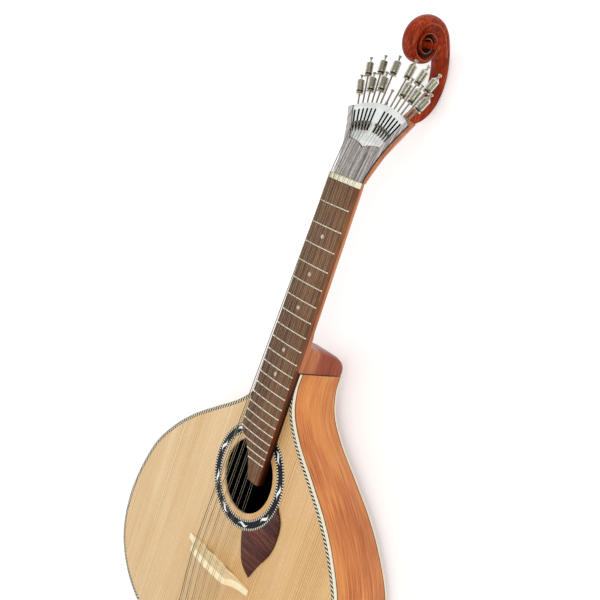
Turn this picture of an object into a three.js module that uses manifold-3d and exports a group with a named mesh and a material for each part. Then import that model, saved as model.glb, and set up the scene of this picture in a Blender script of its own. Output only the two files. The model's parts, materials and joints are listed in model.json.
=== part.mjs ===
// A Portuguese guitar: twelve steel strings in six courses, a teardrop body, a fan of tuning
// screws on the head and a carved scroll behind them.
//
// Millimetres. Inside the instrument group the origin is the front edge of the nut on the plane of
// the fret ends, with +x to the treble side, +y to the head and +z out of the soundboard. The outer
// group holds it as it lies on its back: its tail edge and its scroll touch the plane z = 0, and the
// origin is below the middle of its box.
import * as THREE from 'three';
import { mergeVertices } from 'three/addons/utils/BufferGeometryUtils.js';
import manifoldModule from 'manifold-3d';

const wasm = await manifoldModule();
wasm.setup();

// Fits and overruns
const gap = 0.3;
const runningClearance = 0.25;
const cutOverrun = 8;
const weldDistance = 1e-4;

// Scale, fingerboard and frets
const scaleLength = 445;
const nutWidth = 46.4;
const twelfthFretWidth = 52;
const fingerboardThickness = 5.5;
const camberRise = 1.4;
const fretHeight = 0.9;
const fretWidth = 1.3;
const fretCount = 21;
const bassCutFretCount = 18;
const bassCutMargin = 1.2;
const tongueRun = 46.63;
const tongueLength = fretDistance(bassCutFretCount) + bassCutMargin + tongueRun;
const tongueWidth = 16;
const bassCutShares = [
  [0.28, 0.15],
  [0.64, 0.42],
  [0.84, 0.7],
];

// Body
const bodyJointFretCount = 10;
const bodyJointMargin = 8.75;
const bodyStart = fretDistance(bodyJointFretCount) + bodyJointMargin;
const bodyLength = 384.5;
const bodyHalfWidth = 195.5;
const soundboardDrop = 9.3;
const bodyDepthAtNeck = 62.6;
const bodyDepthAtTail = 92.3;
const soundboardThickness = 2.6;
const backThickness = 2.8;
const ribThickness = 2.3;
const bindingWidth = 2.2;
const bindingHeight = 5;
const liningWidth = 7;
const liningHeight = 14;
const liningShoulderShare = 0.4;
const outlineShares = [
  [0.042, 0.131],
  [0.107, 0.169],
  [0.169, 0.276],
  [0.237, 0.453],
  [0.307, 0.632],
  [0.38, 0.775],
  [0.486, 0.915],
  [0.681, 1],
  [0.822, 0.944],
  [0.916, 0.775],
  [0.975, 0.5],
];
const outlineSteps = 88;

// Blocks and braces inside the body
const neckBlockLength = 44;
const tailBlockLength = 40;
const tailBlockHalfWidth = 44;
const braceWidth = 7;
const topBraceHeight = 14;
const backBraceHeight = 11;
const braceEndClearance = 1.5;
const topBraceShares = [0.214, 0.494];
const backBraceShares = [0.3, 0.68];

// Sound hole, rosette and finger plate
const soundHoleRadius = 41.2;
const soundHoleReach = 2.5;
const soundHoleDistance = tongueLength + soundHoleReach;
const rosetteInnerRadius = 47.6;
const rosetteOuterRadius = 59.6;
const rosetteThickness = 1.2;
const fingerPlateThickness = 1.5;
const fingerPlateBridgeMargin = 11.2;
const fingerPlateArcDegrees = [19.6, 85.6];
const fingerPlateEdgeShares = [
  [1.205, -0.953],
  [1.213, -0.127],
  [1.005, 0.53],
];
const fingerPlateTipShares = [0.877, 1];
const fingerPlateInnerShares = [
  [0.6, 0.765],
  [0.41, 0.267],
];

// Neck, heel and head
const neckDepth = 11.5;
const heelLength = 25;
const heelTopMargin = 2;
const headDrop = 4.2;
const headTiltDegrees = 9.8;
const headTilt = THREE.MathUtils.degToRad(headTiltDegrees);
const veneerThickness = 2;
const veneerRise = 0.6;
const headWall = 5.5;
const keelHalfWidth = 6.5;
const headShaftMargin = 0.9;
const headShaftHalfWidth = nutWidth / 2 - headShaftMargin;
const headKeelDrop = 68.15;
const headKeelStart = 20;
const shaftKeelShare = 0.06;
const neckArcSteps = 6;

// Nut, bridge, tail saddle and tailpiece
const nutLength = 6;
const nutRise = 0.9;
const bridgeHalfLength = 59;
const bridgeThickness = 7.5;
const bridgeCompensation = 3;
const bridgeTopRise = 8.7;
const bridgeCrownHalfWidth = 34;
const bridgeTipHeight = 3.2;
const bridgeArchHeight = 2.2;
const bridgeCrownRadius = 240;
const tailSaddleHalfWidth = 34;
const tailSaddleWidth = 4.5;
const tailSaddleHeight = 4.2;
const tailpieceHalfWidth = 36;
const tailpieceThickness = 1.5;
const tailpieceTop = 13;
const tailpieceHeight = 24;
const pinRadius = 1.2;
const pinHeadRadius = 1.7;
const pinLength = 4.6;
const pinHeadLength = 1.2;
const upperPinDrop = 7;
const pinRowSpacing = 8;

// Fan tuner, in the plane of the head; radii are from the middle of the nut
const fanHalfDegrees = 26.9;
const fanRimRadius = 89.6;
const fanPlateThickness = 1.2;
const fanPlateTopDrop = 0.2;
const plateCornerRadius = 51.9;
const plateCuspDepth = 10.9;
const plateCuspRadius = plateCornerRadius - plateCuspDepth;
const plateLobeShares = [0.34, 0.89];
const firstSlotDegrees = 4.9;
const slotStepDegrees = 4.02;
const slotCornerMargin = 6.8;
const slotRimMargin = 6;
const slotInnerRadius = plateCornerRadius + slotCornerMargin;
const slotOuterRadius = fanRimRadius - slotRimMargin;
const slotWidth = 2.2;
const barWidth = 3.7;
const slotBarMargin = 0.5;
const trayInnerRadius = slotInnerRadius - slotBarMargin - barWidth;
const trayFloor = 1;
const trayDepth = 6.9;
const screwDepth = 3.8;
const screwRadius = 0.95;
const screwEndMargin = 0.8;
const boreRadius = 1.2;
const hookPlaceShare = 0.3534;
const hookRadius = slotInnerRadius + hookPlaceShare * (slotOuterRadius - slotInnerRadius);
const hookBlockLength = 4;
const hookBlockWidth = 3.4;
const hookBlockHeight = 3.5;
const hookStemLength = 1.8;
const hookStemWidth = 1.4;
const hookStemRise = 3;
const hookBeakReach = 1.6;
const hookBeakThickness = 1;
const hookStringRise = 1.1;

// The end of the head's wood follows the rim of the fan
const fanHalfAngle = THREE.MathUtils.degToRad(fanHalfDegrees);
const headSideMargin = 7.11;
const headEndHalfWidth = fanRimRadius * Math.sin(fanHalfAngle) + headSideMargin;
const headLength = fanRimRadius * Math.cos(fanHalfAngle) * Math.cos(headTilt);

// Knobs and the fixed middle finial
const knobRadius = 4.3;
const knobFlangeLength = 2;
const knobGrooveLength = 1.6;
const knobGrooveRadius = 3.5;
const knobGripLength = 10;
const knobConeLength = 2.8;
const knobNeckLength = 1.8;
const knobNeckRadius = 1.1;
const knobBeadLength = 2;
const knobBeadRadius = 1.7;
const shortRodLength = 12.6;
const longRodLength = 31.2;
const shortKnobRadius = fanRimRadius + shortRodLength;
const longKnobRadius = fanRimRadius + longRodLength;
const finialBaseRadius = 3;
const finialBaseLength = 5;
const finialWaistShare = 0.6;
const finialLength = 18.4;
const finialTipRadius = 1.7;
const finialTipLength = 3;
const knobSides = 12;
const screwSides = 8;

// Scroll, in the plane x = 0
const scrollCentreReach = 73.4;
const scrollCentreAlong = fanRimRadius + scrollCentreReach;
const stemFootRise = 1.15;
const scrollCentreDrop = 49.5;
const scrollRadius = 31;
const scrollDecayShare = 0.66;
const scrollTurns = 3;
const scrollStepsPerTurn = 16;
const scrollStartHalfWidth = 7.5;
const scrollWidthGain = 3.1;
const scrollEyeRadius = 6;
const scrollEyeHalfWidth = 18.6;
const scrollEyeTipShare = 0.7;
const scrollEyeCrown = 1;
const stemDepth = 13;
const stemKneeAlong = 14;
const stemKneeDrop = 30;
const stemReach = 44;
const stemJoinShare = 0.086;

// Strings, in order from bass to treble: each course is a pair
const stringDiameters = [0.98, 0.6, 0.8, 0.46, 0.62, 0.36, 0.4, 0.4, 0.33, 0.33, 0.3, 0.3];
const nutCourseSpacing = 7.4;
const nutPairSpacing = 2.6;
const bridgeCourseSpacing = 11.2;
const bridgePairSpacing = 3;
const stringSides = 6;
const courseCount = 6;

// Values that follow from the sizes
const neckTop = -(fingerboardThickness + gap);
const soundboardTop = -soundboardDrop;
const soundboardUnder = soundboardTop - soundboardThickness;
const bodyFront = -bodyStart;
const bodyTail = -(bodyStart + bodyLength);
const tailDrop = soundboardDrop + bodyDepthAtTail;
const innerEdge = bindingWidth + gap;
const bridgeAlong = -(scaleLength + bridgeCompensation);
const tailpieceFace = gap + tailpieceThickness;
const stringRun = gap + pinLength / 2;

const finishes = {
  spruce: { color: 0xe3c89c, roughness: 0.45, metalness: 0 },
  mahogany: { color: 0xa8522a, roughness: 0.35, metalness: 0 },
  scrollWood: { color: 0x7c2414, roughness: 0.2, metalness: 0 },
  rosewood: { color: 0x5a2e26, roughness: 0.4, metalness: 0 },
  veneer: { color: 0x8a7a78, roughness: 0.25, metalness: 0 },
  bone: { color: 0xe6e2c4, roughness: 0.45, metalness: 0 },
  nickel: { color: 0xb9b39c, roughness: 0.28, metalness: 0.9 },
  plate: { color: 0xdfe5e4, roughness: 0.3, metalness: 0.7 },
  steel: { color: 0xa9aaa6, roughness: 0.3, metalness: 0.9 },
  inlay: { color: 0x1c2836, roughness: 0.3, metalness: 0 },
  lining: { color: 0xcda873, roughness: 0.7, metalness: 0 },
};

// Geometry helpers

/** The volume that a closed triangle mesh holds, negative where it faces inward. */
function signedVolume(points, triangles) {
  return triangles.reduce((sum, [a, b, c]) => {
    const cross = new THREE.Vector3().crossVectors(points[b], points[c]);
    return sum + points[a].dot(cross) / 6;
  }, 0);
}

/** A closed geometry from points and triangles, turned to face outward. */
function closedGeometry(points, triangles) {
  const outward = signedVolume(points, triangles) > 0;
  const ordered = outward ? triangles : triangles.map(([a, b, c]) => [a, c, b]);
  const geometry = new THREE.BufferGeometry();
  const flat = points.flatMap((point) => point.toArray());
  geometry.setAttribute('position', new THREE.Float32BufferAttribute(flat, 3));
  geometry.setIndex(ordered.flat());
  geometry.computeVertexNormals();
  return geometry;
}

/** Points and triangles of a geometry with equal points joined. */
function weldedParts(geometry) {
  const bare = geometry.clone();
  bare.deleteAttribute('normal');
  bare.deleteAttribute('uv');
  const welded = mergeVertices(bare, weldDistance);
  const position = welded.getAttribute('position');
  const points = [];
  for (let i = 0; i < position.count; i += 1) {
    points.push(new THREE.Vector3().fromBufferAttribute(position, i));
  }
  const index = Array.from(welded.index.array);
  const triangles = [];
  for (let i = 0; i < index.length; i += 3) {
    const [a, b, c] = index.slice(i, i + 3);
    if (a !== b && b !== c && c !== a) triangles.push([a, b, c]);
  }
  return { points, triangles };
}

/** A library geometry as a closed one with joined points. */
function closed(geometry) {
  const { points, triangles } = weldedParts(geometry);
  return closedGeometry(points, triangles);
}

function toSolid(geometry) {
  const { points, triangles } = weldedParts(geometry);
  const vertProperties = new Float32Array(points.flatMap((point) => point.toArray()));
  const triVerts = new Uint32Array(triangles.flat());
  return new wasm.Manifold(new wasm.Mesh({ numProp: 3, vertProperties, triVerts }));
}

function fromSolid(solid) {
  const mesh = solid.getMesh();
  const geometry = new THREE.BufferGeometry();
  const position = new THREE.Float32BufferAttribute(mesh.vertProperties, mesh.numProp);
  geometry.setAttribute('position', position);
  geometry.setIndex(Array.from(mesh.triVerts));
  geometry.computeVertexNormals();
  return geometry;
}

function joined(geometries) {
  return geometries.map(toSolid).reduce((sum, solid) => sum.add(solid));
}

/** The largest connected piece of a solid, without the empty slivers of a union. */
function mainPiece(solid) {
  return solid.decompose().reduce((best, piece) => (piece.volume() > best.volume() ? piece : best));
}

function counterClockwise(points) {
  return THREE.ShapeUtils.area(points) > 0 ? points : points.slice().reverse();
}

/** Triangles that fill a flat outline, counter-clockwise. */
function fillTriangles(contour, holes) {
  const flat = [contour, ...holes].flat();
  const triangles = THREE.ShapeUtils.triangulateShape(contour, holes);
  const area = triangles.reduce((sum, corners) => (
    sum + THREE.ShapeUtils.area(corners.map((corner) => flat[corner]))
  ), 0);
  return area > 0 ? triangles : triangles.map(([a, b, c]) => [a, c, b]);
}

/** A plate with vertical sides between two height functions of the place. */
function slab(outline, topAt, bottomAt, holes = []) {
  const contour = counterClockwise(outline);
  const inner = holes.map((hole) => counterClockwise(hole).reverse());
  const rings = [contour, ...inner];
  const flat = rings.flat();
  const count = flat.length;
  const tops = flat.map((point) => new THREE.Vector3(point.x, point.y, topAt(point)));
  const bottoms = flat.map((point) => new THREE.Vector3(point.x, point.y, bottomAt(point)));
  const triangles = [];
  fillTriangles(contour, inner).forEach(([a, b, c]) => {
    triangles.push([a, b, c], [count + a, count + c, count + b]);
  });
  let start = 0;
  rings.forEach((ring) => {
    ring.forEach((point, i) => {
      const here = start + i;
      const next = start + ((i + 1) % ring.length);
      triangles.push([count + here, count + next, next], [count + here, next, here]);
    });
    start += ring.length;
  });
  return closedGeometry([...tops, ...bottoms], triangles);
}

function flatSlab(outline, top, bottom, holes = []) {
  return slab(outline, () => top, () => bottom, holes);
}

/** Triangles that close a ring, in the ring's own direction. */
function capTriangles(ring) {
  const normal = new THREE.Vector3();
  ring.forEach((point, i) => {
    const next = ring[(i + 1) % ring.length];
    normal.add(new THREE.Vector3().crossVectors(point, next));
  });
  normal.normalize();
  const seed = Math.abs(normal.x) < 0.8 ? new THREE.Vector3(1, 0, 0) : new THREE.Vector3(0, 1, 0);
  const across = seed.cross(normal).normalize();
  const up = new THREE.Vector3().crossVectors(normal, across);
  const flat = ring.map((point) => new THREE.Vector2(point.dot(across), point.dot(up)));
  return fillTriangles(flat, []);
}

/** A closed skin through rings that all have the same number of points. */
function loft(rings) {
  const size = rings[0].length;
  const points = rings.flat();
  const triangles = [];
  for (let r = 0; r < rings.length - 1; r += 1) {
    for (let i = 0; i < size; i += 1) {
      const a = r * size + i;
      const b = r * size + ((i + 1) % size);
      triangles.push([a, b, b + size], [a, b + size, a + size]);
    }
  }
  const last = (rings.length - 1) * size;
  capTriangles(rings[0]).forEach(([a, b, c]) => triangles.push([a, c, b]));
  capTriangles(rings.at(-1)).forEach(([a, b, c]) => triangles.push([last + a, last + b, last + c]));
  return closedGeometry(points, triangles);
}

/** A round bar through a list of points, with mitred bends. */
function bar(points, radius, sides) {
  const rings = points.map((point, i) => {
    const before = points[Math.max(i - 1, 0)];
    const after = points[Math.min(i + 1, points.length - 1)];
    const back = point.clone().sub(before).normalize();
    const ahead = after.clone().sub(point).normalize();
    const along = back.add(ahead).normalize();
    const side = new THREE.Vector3(1, 0, 0).addScaledVector(along, -along.x).normalize();
    const up = new THREE.Vector3().crossVectors(side, along);
    return Array.from({ length: sides }, (_, k) => {
      const turn = (2 * Math.PI * k) / sides;
      const ring = point.clone().addScaledVector(side, radius * Math.cos(turn));
      return ring.addScaledVector(up, radius * Math.sin(turn));
    });
  });
  return loft(rings);
}

function circle(radius, centreX, centreY, steps) {
  return Array.from({ length: steps }, (_, i) => {
    const turn = (2 * Math.PI * i) / steps;
    return new THREE.Vector2(centreX + radius * Math.cos(turn), centreY + radius * Math.sin(turn));
  });
}

function turned(profile, sides) {
  const points = profile.map(([radius, along]) => new THREE.Vector2(radius, along));
  return closed(new THREE.LatheGeometry(points, sides));
}

function rectangle(left, right, low, high) {
  return [[left, low], [right, low], [right, high], [left, high]].map(
    ([x, y]) => new THREE.Vector2(x, y),
  );
}

function part(name, geometry, finish) {
  const mesh = new THREE.Mesh(geometry, new THREE.MeshStandardMaterial({ ...finish }));
  mesh.name = name;
  return mesh;
}

// Fingerboard

function fingerboardHalfWidth(distance) {
  const gain = (twelfthFretWidth - nutWidth) / (scaleLength / 2);
  return (nutWidth + gain * distance) / 2;
}

function fretDistance(fret) {
  return scaleLength * (1 - 2 ** (-fret / 12));
}

function camberAt(x, halfWidth) {
  return camberRise * (1 - (x / halfWidth) ** 2);
}

/** A bar across the fingerboard between two distances from the nut, with a cambered top. */
function camberedBar(from, to, bottom, rise, inset) {
  const steps = 8;
  const rings = [from, to].map((distance) => {
    const half = fingerboardHalfWidth(distance) - inset;
    const top = Array.from({ length: steps + 1 }, (_, i) => {
      const x = half * ((2 * i) / steps - 1);
      return new THREE.Vector3(x, -distance, camberAt(x, half) + rise);
    });
    return [
      new THREE.Vector3(half, -distance, bottom),
      new THREE.Vector3(-half, -distance, bottom),
      ...top,
    ];
  });
  return loft(rings);
}

/** The part of the fingerboard's plan that is cut away on the bass side, over the sound hole. */
function bassCutOutline(margin) {
  const start = fretDistance(bassCutFretCount) + bassCutMargin - margin;
  const left = -fingerboardHalfWidth(tongueLength) - cutOverrun;
  const run = tongueLength - start;
  const tongueLeft = fingerboardHalfWidth(tongueLength) - tongueWidth - margin;
  const edge = -fingerboardHalfWidth(start) - margin;
  const span = tongueLeft - edge;
  const curve = new THREE.CatmullRomCurve3([
    new THREE.Vector3(edge, -start, 0),
    ...bassCutShares.map(([x, y]) => new THREE.Vector3(edge + span * x, -start - run * y, 0)),
    new THREE.Vector3(tongueLeft, -tongueLength, 0),
  ]);
  const points = curve.getPoints(12).map((point) => new THREE.Vector2(point.x, point.y));
  return [
    new THREE.Vector2(left, -start),
    ...points,
    new THREE.Vector2(tongueLeft, -tongueLength - cutOverrun),
    new THREE.Vector2(left, -tongueLength - cutOverrun),
  ];
}

function fingerboard() {
  const board = camberedBar(0, tongueLength, -fingerboardThickness, 0, 0);
  const frets = Array.from({ length: fretCount }, (_, i) => {
    const middle = fretDistance(i + 1);
    const half = fretWidth / 2;
    return camberedBar(middle - half, middle + half, -fretHeight, fretHeight, gap);
  });
  const cut = toSolid(flatSlab(bassCutOutline(0), cutOverrun, -cutOverrun));
  return fromSolid(joined([board, ...frets]).subtract(cut));
}

/** The raised rib of the neck that carries the fingerboard over the soundboard. */
function fingerboardSupport() {
  const outline = [
    new THREE.Vector2(-fingerboardHalfWidth(bodyStart) + gap, bodyFront + gap),
    new THREE.Vector2(fingerboardHalfWidth(bodyStart) - gap, bodyFront + gap),
    new THREE.Vector2(fingerboardHalfWidth(tongueLength) - gap, -tongueLength + gap),
    new THREE.Vector2(-fingerboardHalfWidth(tongueLength) + gap, -tongueLength + gap),
  ];
  const rib = toSolid(flatSlab(outline, neckTop, soundboardTop + gap));
  return rib.subtract(toSolid(flatSlab(bassCutOutline(gap), cutOverrun, -soundboardDrop * 2)));
}

// Body

/** The outer edge of the body from the treble side of the heel, round the tail, to the bass side. */
function bodyOutline() {
  const joint = fingerboardHalfWidth(bodyStart);
  const half = [
    [joint, 0],
    ...outlineShares.map(([along, across]) => [across * bodyHalfWidth, along * bodyLength]),
  ];
  const right = half.map(([x, along]) => new THREE.Vector3(x, bodyFront - gap - along, 0));
  const left = half.map(([x, along]) => new THREE.Vector3(-x, bodyFront - gap - along, 0)).reverse();
  const tail = new THREE.Vector3(0, bodyTail, 0);
  const curve = new THREE.CatmullRomCurve3([...right, tail, ...left], false, 'centripetal');
  return curve.getSpacedPoints(outlineSteps).map((point) => new THREE.Vector2(point.x, point.y));
}

/** Places along the outline, each with the direction into the body. */
function outlineFrames() {
  const points = bodyOutline();
  return points.map((point, i) => {
    const before = points[Math.max(i - 1, 0)];
    const after = points[Math.min(i + 1, points.length - 1)];
    const along = after.clone().sub(before).normalize();
    const atEnd = i === 0 || i === points.length - 1;
    const inward = atEnd ? new THREE.Vector2(i === 0 ? -1 : 1, 0) : new THREE.Vector2(along.y, -along.x);
    return { point, inward };
  });
}

const rim = outlineFrames();

function insetPoint(frame, inset) {
  return frame.point.clone().addScaledVector(frame.inward, inset);
}

function insetOutline(inset) {
  return rim.map((frame) => insetPoint(frame, inset));
}

function backOuter(point) {
  const share = (bodyFront - point.y) / bodyLength;
  return soundboardTop - bodyDepthAtNeck - (bodyDepthAtTail - bodyDepthAtNeck) * share;
}

function backInner(point) {
  return backOuter(point) + backThickness;
}

/** A strip that follows the body's edge. A profile point is an inset and a height function. */
function rimStrip(frames, profile) {
  const rings = frames.map((frame) => profile.map(([inset, heightAt]) => {
    const place = insetPoint(frame, inset);
    return new THREE.Vector3(place.x, place.y, heightAt(place));
  }));
  return loft(rings);
}

function ribProfile() {
  const ledgeTop = () => soundboardTop - bindingHeight - gap;
  const liningTop = () => soundboardUnder - gap;
  const liningTopShoulder = () => soundboardUnder - gap - liningHeight * liningShoulderShare;
  const liningTopFoot = () => soundboardUnder - gap - liningHeight;
  const ledgeBottom = (point) => backOuter(point) + bindingHeight + gap;
  const liningBottom = (point) => backInner(point) + gap;
  const liningBottomShoulder = (point) => backInner(point) + gap + liningHeight * liningShoulderShare;
  const liningBottomFoot = (point) => backInner(point) + gap + liningHeight;
  return [
    [0, ledgeBottom],
    [0, ledgeTop],
    [innerEdge, ledgeTop],
    [innerEdge, liningTop],
    [liningWidth, liningTop],
    [liningWidth, liningTopShoulder],
    [ribThickness, liningTopFoot],
    [ribThickness, liningBottomFoot],
    [liningWidth, liningBottomShoulder],
    [liningWidth, liningBottom],
    [innerEdge, liningBottom],
    [innerEdge, ledgeBottom],
  ];
}

/** One half of the sides, with its linings, cut short by half a joint gap at the tail. */
function rib(side) {
  const middle = outlineSteps / 2;
  const frames = side > 0 ? rim.slice(0, middle + 1) : rim.slice(middle);
  const tail = side > 0 ? frames.length - 1 : 0;
  const shifted = frames.map((frame, i) => {
    if (i !== tail) return frame;
    const point = frame.point.clone();
    point.x += (side * gap) / 2;
    return { point, inward: frame.inward };
  });
  return rimStrip(shifted, ribProfile());
}

function bindingStrip(lowAt, highAt) {
  return rimStrip(rim, [[0, lowAt], [0, highAt], [bindingWidth, highAt], [bindingWidth, lowAt]]);
}

function soundboard() {
  const hole = circle(soundHoleRadius, 0, -soundHoleDistance, 48);
  const board = flatSlab(insetOutline(innerEdge), soundboardTop, soundboardUnder, [hole]);
  const groove = flatSlab(
    circle(rosetteOuterRadius + gap, 0, -soundHoleDistance, 64),
    soundboardTop + cutOverrun,
    soundboardTop - rosetteThickness - gap,
    [circle(rosetteInnerRadius - gap, 0, -soundHoleDistance, 64)],
  );
  return fromSolid(toSolid(board).subtract(toSolid(groove)));
}

function rosette() {
  const outer = circle(rosetteOuterRadius, 0, -soundHoleDistance, 64);
  const inner = circle(rosetteInnerRadius, 0, -soundHoleDistance, 64);
  return flatSlab(outer, soundboardTop, soundboardTop - rosetteThickness, [inner]);
}

function fingerPlate() {
  const seat = rosetteOuterRadius + 2 * gap;
  const [from, to] = fingerPlateArcDegrees.map(THREE.MathUtils.degToRad);
  const steps = 10;
  const arc = Array.from({ length: steps + 1 }, (_, i) => {
    const turn = from + ((to - from) * i) / steps;
    return new THREE.Vector2(seat * Math.sin(turn), -soundHoleDistance - seat * Math.cos(turn));
  });
  const near = -soundHoleDistance - seat * Math.cos(from);
  const far = bridgeAlong + bridgeThickness / 2 + fingerPlateBridgeMargin;
  const place = ([across, along]) => new THREE.Vector3(
    across * rosetteOuterRadius,
    near + along * (far - near),
    0,
  );
  const end = arc.at(-1);
  const start = arc[0];
  const tip = place(fingerPlateTipShares);
  const outer = new THREE.CatmullRomCurve3([
    new THREE.Vector3(end.x, end.y, 0),
    ...fingerPlateEdgeShares.map(place),
    tip,
  ]);
  const inner = new THREE.CatmullRomCurve3([
    tip,
    ...fingerPlateInnerShares.map(place),
    new THREE.Vector3(start.x, start.y, 0),
  ]);
  const edges = [...outer.getPoints(12).slice(1), ...inner.getPoints(10).slice(1, -1)];
  const outline = [...arc, ...edges.map((point) => new THREE.Vector2(point.x, point.y))];
  return flatSlab(outline, soundboardTop + gap + fingerPlateThickness, soundboardTop + gap);
}

function halfWidthAt(along, inset) {
  const points = insetOutline(inset).filter((point) => point.x > 0);
  for (let i = 0; i < points.length - 1; i += 1) {
    const [a, b] = [points[i], points[i + 1]];
    if (a.y >= along && b.y <= along) {
      return THREE.MathUtils.mapLinear(along, a.y, b.y, a.x, b.x);
    }
  }
  return points[0].x;
}

function brace(share, topAt, bottomAt) {
  const middle = bodyFront - share * bodyLength;
  const [low, high] = [middle - braceWidth / 2, middle + braceWidth / 2];
  const reach = Math.min(
    halfWidthAt(low, liningWidth + gap),
    halfWidthAt(high, liningWidth + gap),
  ) - braceEndClearance;
  return slab(rectangle(-reach, reach, low, high), topAt, bottomAt);
}

function topBrace(share) {
  const top = soundboardUnder - gap;
  return brace(share, () => top, () => top - topBraceHeight);
}

function backBrace(share) {
  return brace(share, (p) => backInner(p) + gap + backBraceHeight, (p) => backInner(p) + gap);
}

function neckBlock() {
  const front = bodyFront - gap;
  const beside = insetOutline(liningWidth + gap).filter((p) => p.x > 0 && p.y > front - neckBlockLength);
  const half = Math.min(...beside.map((point) => point.x)) - gap;
  const outline = rectangle(-half, half, front - neckBlockLength, front);
  return slab(outline, () => soundboardUnder - gap, (p) => backInner(p) + gap);
}

function tailBlock() {
  const edge = insetOutline(liningWidth + gap);
  const curved = edge.filter((p) => Math.abs(p.x) <= tailBlockHalfWidth && p.y < -soundHoleDistance);
  const front = Math.max(...curved.map((point) => point.y)) + tailBlockLength;
  const outline = [
    ...curved,
    new THREE.Vector2(curved.at(-1).x, front),
    new THREE.Vector2(curved[0].x, front),
  ];
  return slab(outline, () => soundboardUnder - gap, (p) => backInner(p) + gap);
}

// Head plane

/** A place on the head, given in the head's own plane, in the instrument's frame. */
function headMatrix() {
  const turn = new THREE.Matrix4().makeRotationX(-headTilt);
  return turn.premultiply(new THREE.Matrix4().makeTranslation(0, 0, -headDrop));
}

function headPlaneHeight(along) {
  return -headDrop - Math.tan(headTilt) * along;
}

function polar(radius, degrees) {
  const turn = THREE.MathUtils.degToRad(degrees);
  return new THREE.Vector2(radius * Math.sin(turn), radius * Math.cos(turn));
}

function arcPoints(radius, fromDegrees, toDegrees, steps) {
  return Array.from({ length: steps + 1 }, (_, i) => (
    polar(radius, fromDegrees + ((toDegrees - fromDegrees) * i) / steps)
  ));
}

function lobe(from, to) {
  const side = Math.sign(from.x + to.x);
  const high = new THREE.Vector2(
    side * plateLobeShares[0] * plateCornerRadius * Math.sin(fanHalfAngle),
    plateLobeShares[1] * plateCornerRadius,
  );
  return new THREE.QuadraticBezierCurve(from, high, to).getPoints(6);
}

/** The plate's plan, grown by a margin. */
function fanPlateOutline(margin) {
  const marginDegrees = THREE.MathUtils.radToDeg(margin / slotInnerRadius);
  const half = fanHalfDegrees + marginDegrees;
  const rimArc = arcPoints(fanRimRadius, -half, half, 16);
  const right = polar(plateCornerRadius - margin, half);
  const cusp = new THREE.Vector2(0, plateCuspRadius - margin);
  const left = polar(plateCornerRadius - margin, -half);
  return [...rimArc, ...lobe(right, cusp), ...lobe(cusp, left).slice(1)];
}

function slotDegrees(index) {
  const side = index < courseCount ? -1 : 1;
  const place = index < courseCount ? courseCount - 1 - index : index - courseCount;
  return side * (firstSlotDegrees + slotStepDegrees * place);
}

function slotOutline(degrees) {
  const turn = THREE.MathUtils.degToRad(degrees);
  const corners = rectangle(-slotWidth / 2, slotWidth / 2, slotInnerRadius, slotOuterRadius);
  return corners.map((point) => point.rotateAround(new THREE.Vector2(), -turn));
}

const plateTop = -fanPlateTopDrop;
const plateBottom = plateTop - fanPlateThickness;
const woodTop = plateBottom - gap;
const trayTop = plateBottom - gap;

function fanPlate() {
  const holes = Array.from({ length: 2 * courseCount }, (_, i) => slotOutline(slotDegrees(i)));
  return flatSlab(fanPlateOutline(0), plateTop, plateBottom, holes);
}

/** A bore along one tuning line, as a solid to cut with. */
function lineBore(degrees, from, to) {
  const bore = turned([[0, from], [boreRadius, from], [boreRadius, to], [0, to]], screwSides);
  bore.rotateZ(-THREE.MathUtils.degToRad(degrees));
  bore.translate(0, 0, -screwDepth);
  return bore;
}

function finial() {
  const base = fanRimRadius - barWidth / 2;
  const end = fanRimRadius + finialLength;
  const shaft = end - finialTipLength;
  const profile = [
    [0, base],
    [screwRadius, base],
    [screwRadius, fanRimRadius],
    [finialBaseRadius, fanRimRadius + gap],
    [finialBaseRadius * finialWaistShare, fanRimRadius + finialBaseLength / 3],
    [screwRadius, fanRimRadius + finialBaseLength],
    [screwRadius, shaft],
    [finialTipRadius, end - finialTipLength / 3],
    [0, end],
  ];
  const pin = turned(profile, screwSides);
  pin.translate(0, 0, -screwDepth);
  return pin;
}

/** The metal tray under the plate: two bearing bars on a floor, with the fixed middle finial. */
function fanFrame() {
  const outerBar = fanRimRadius - barWidth;
  const sector = (inner, outer, half) => [
    ...arcPoints(outer, -half, half, 16),
    ...arcPoints(inner, half, -half, 12),
  ];
  const tray = flatSlab(sector(trayInnerRadius, fanRimRadius - gap, fanHalfDegrees), trayTop, -trayDepth);
  const well = flatSlab(
    sector(trayInnerRadius + barWidth, outerBar, fanHalfDegrees + slotStepDegrees),
    cutOverrun,
    -trayDepth + trayFloor,
  );
  const bores = Array.from({ length: 2 * courseCount }, (_, i) => (
    lineBore(slotDegrees(i), trayInnerRadius - cutOverrun, fanRimRadius + cutOverrun)
  ));
  const body = joined([tray, finial()]);
  const hollow = body.subtract(toSolid(well));
  return fromSolid(bores.map(toSolid).reduce((rest, bore) => rest.subtract(bore), hollow));
}

function headHalfWidth(along) {
  const share = along / headLength;
  const spread = headEndHalfWidth - headShaftHalfWidth;
  return headShaftHalfWidth + spread * Math.min(Math.max(share, 0), 1.25) ** 1.9;
}

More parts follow.
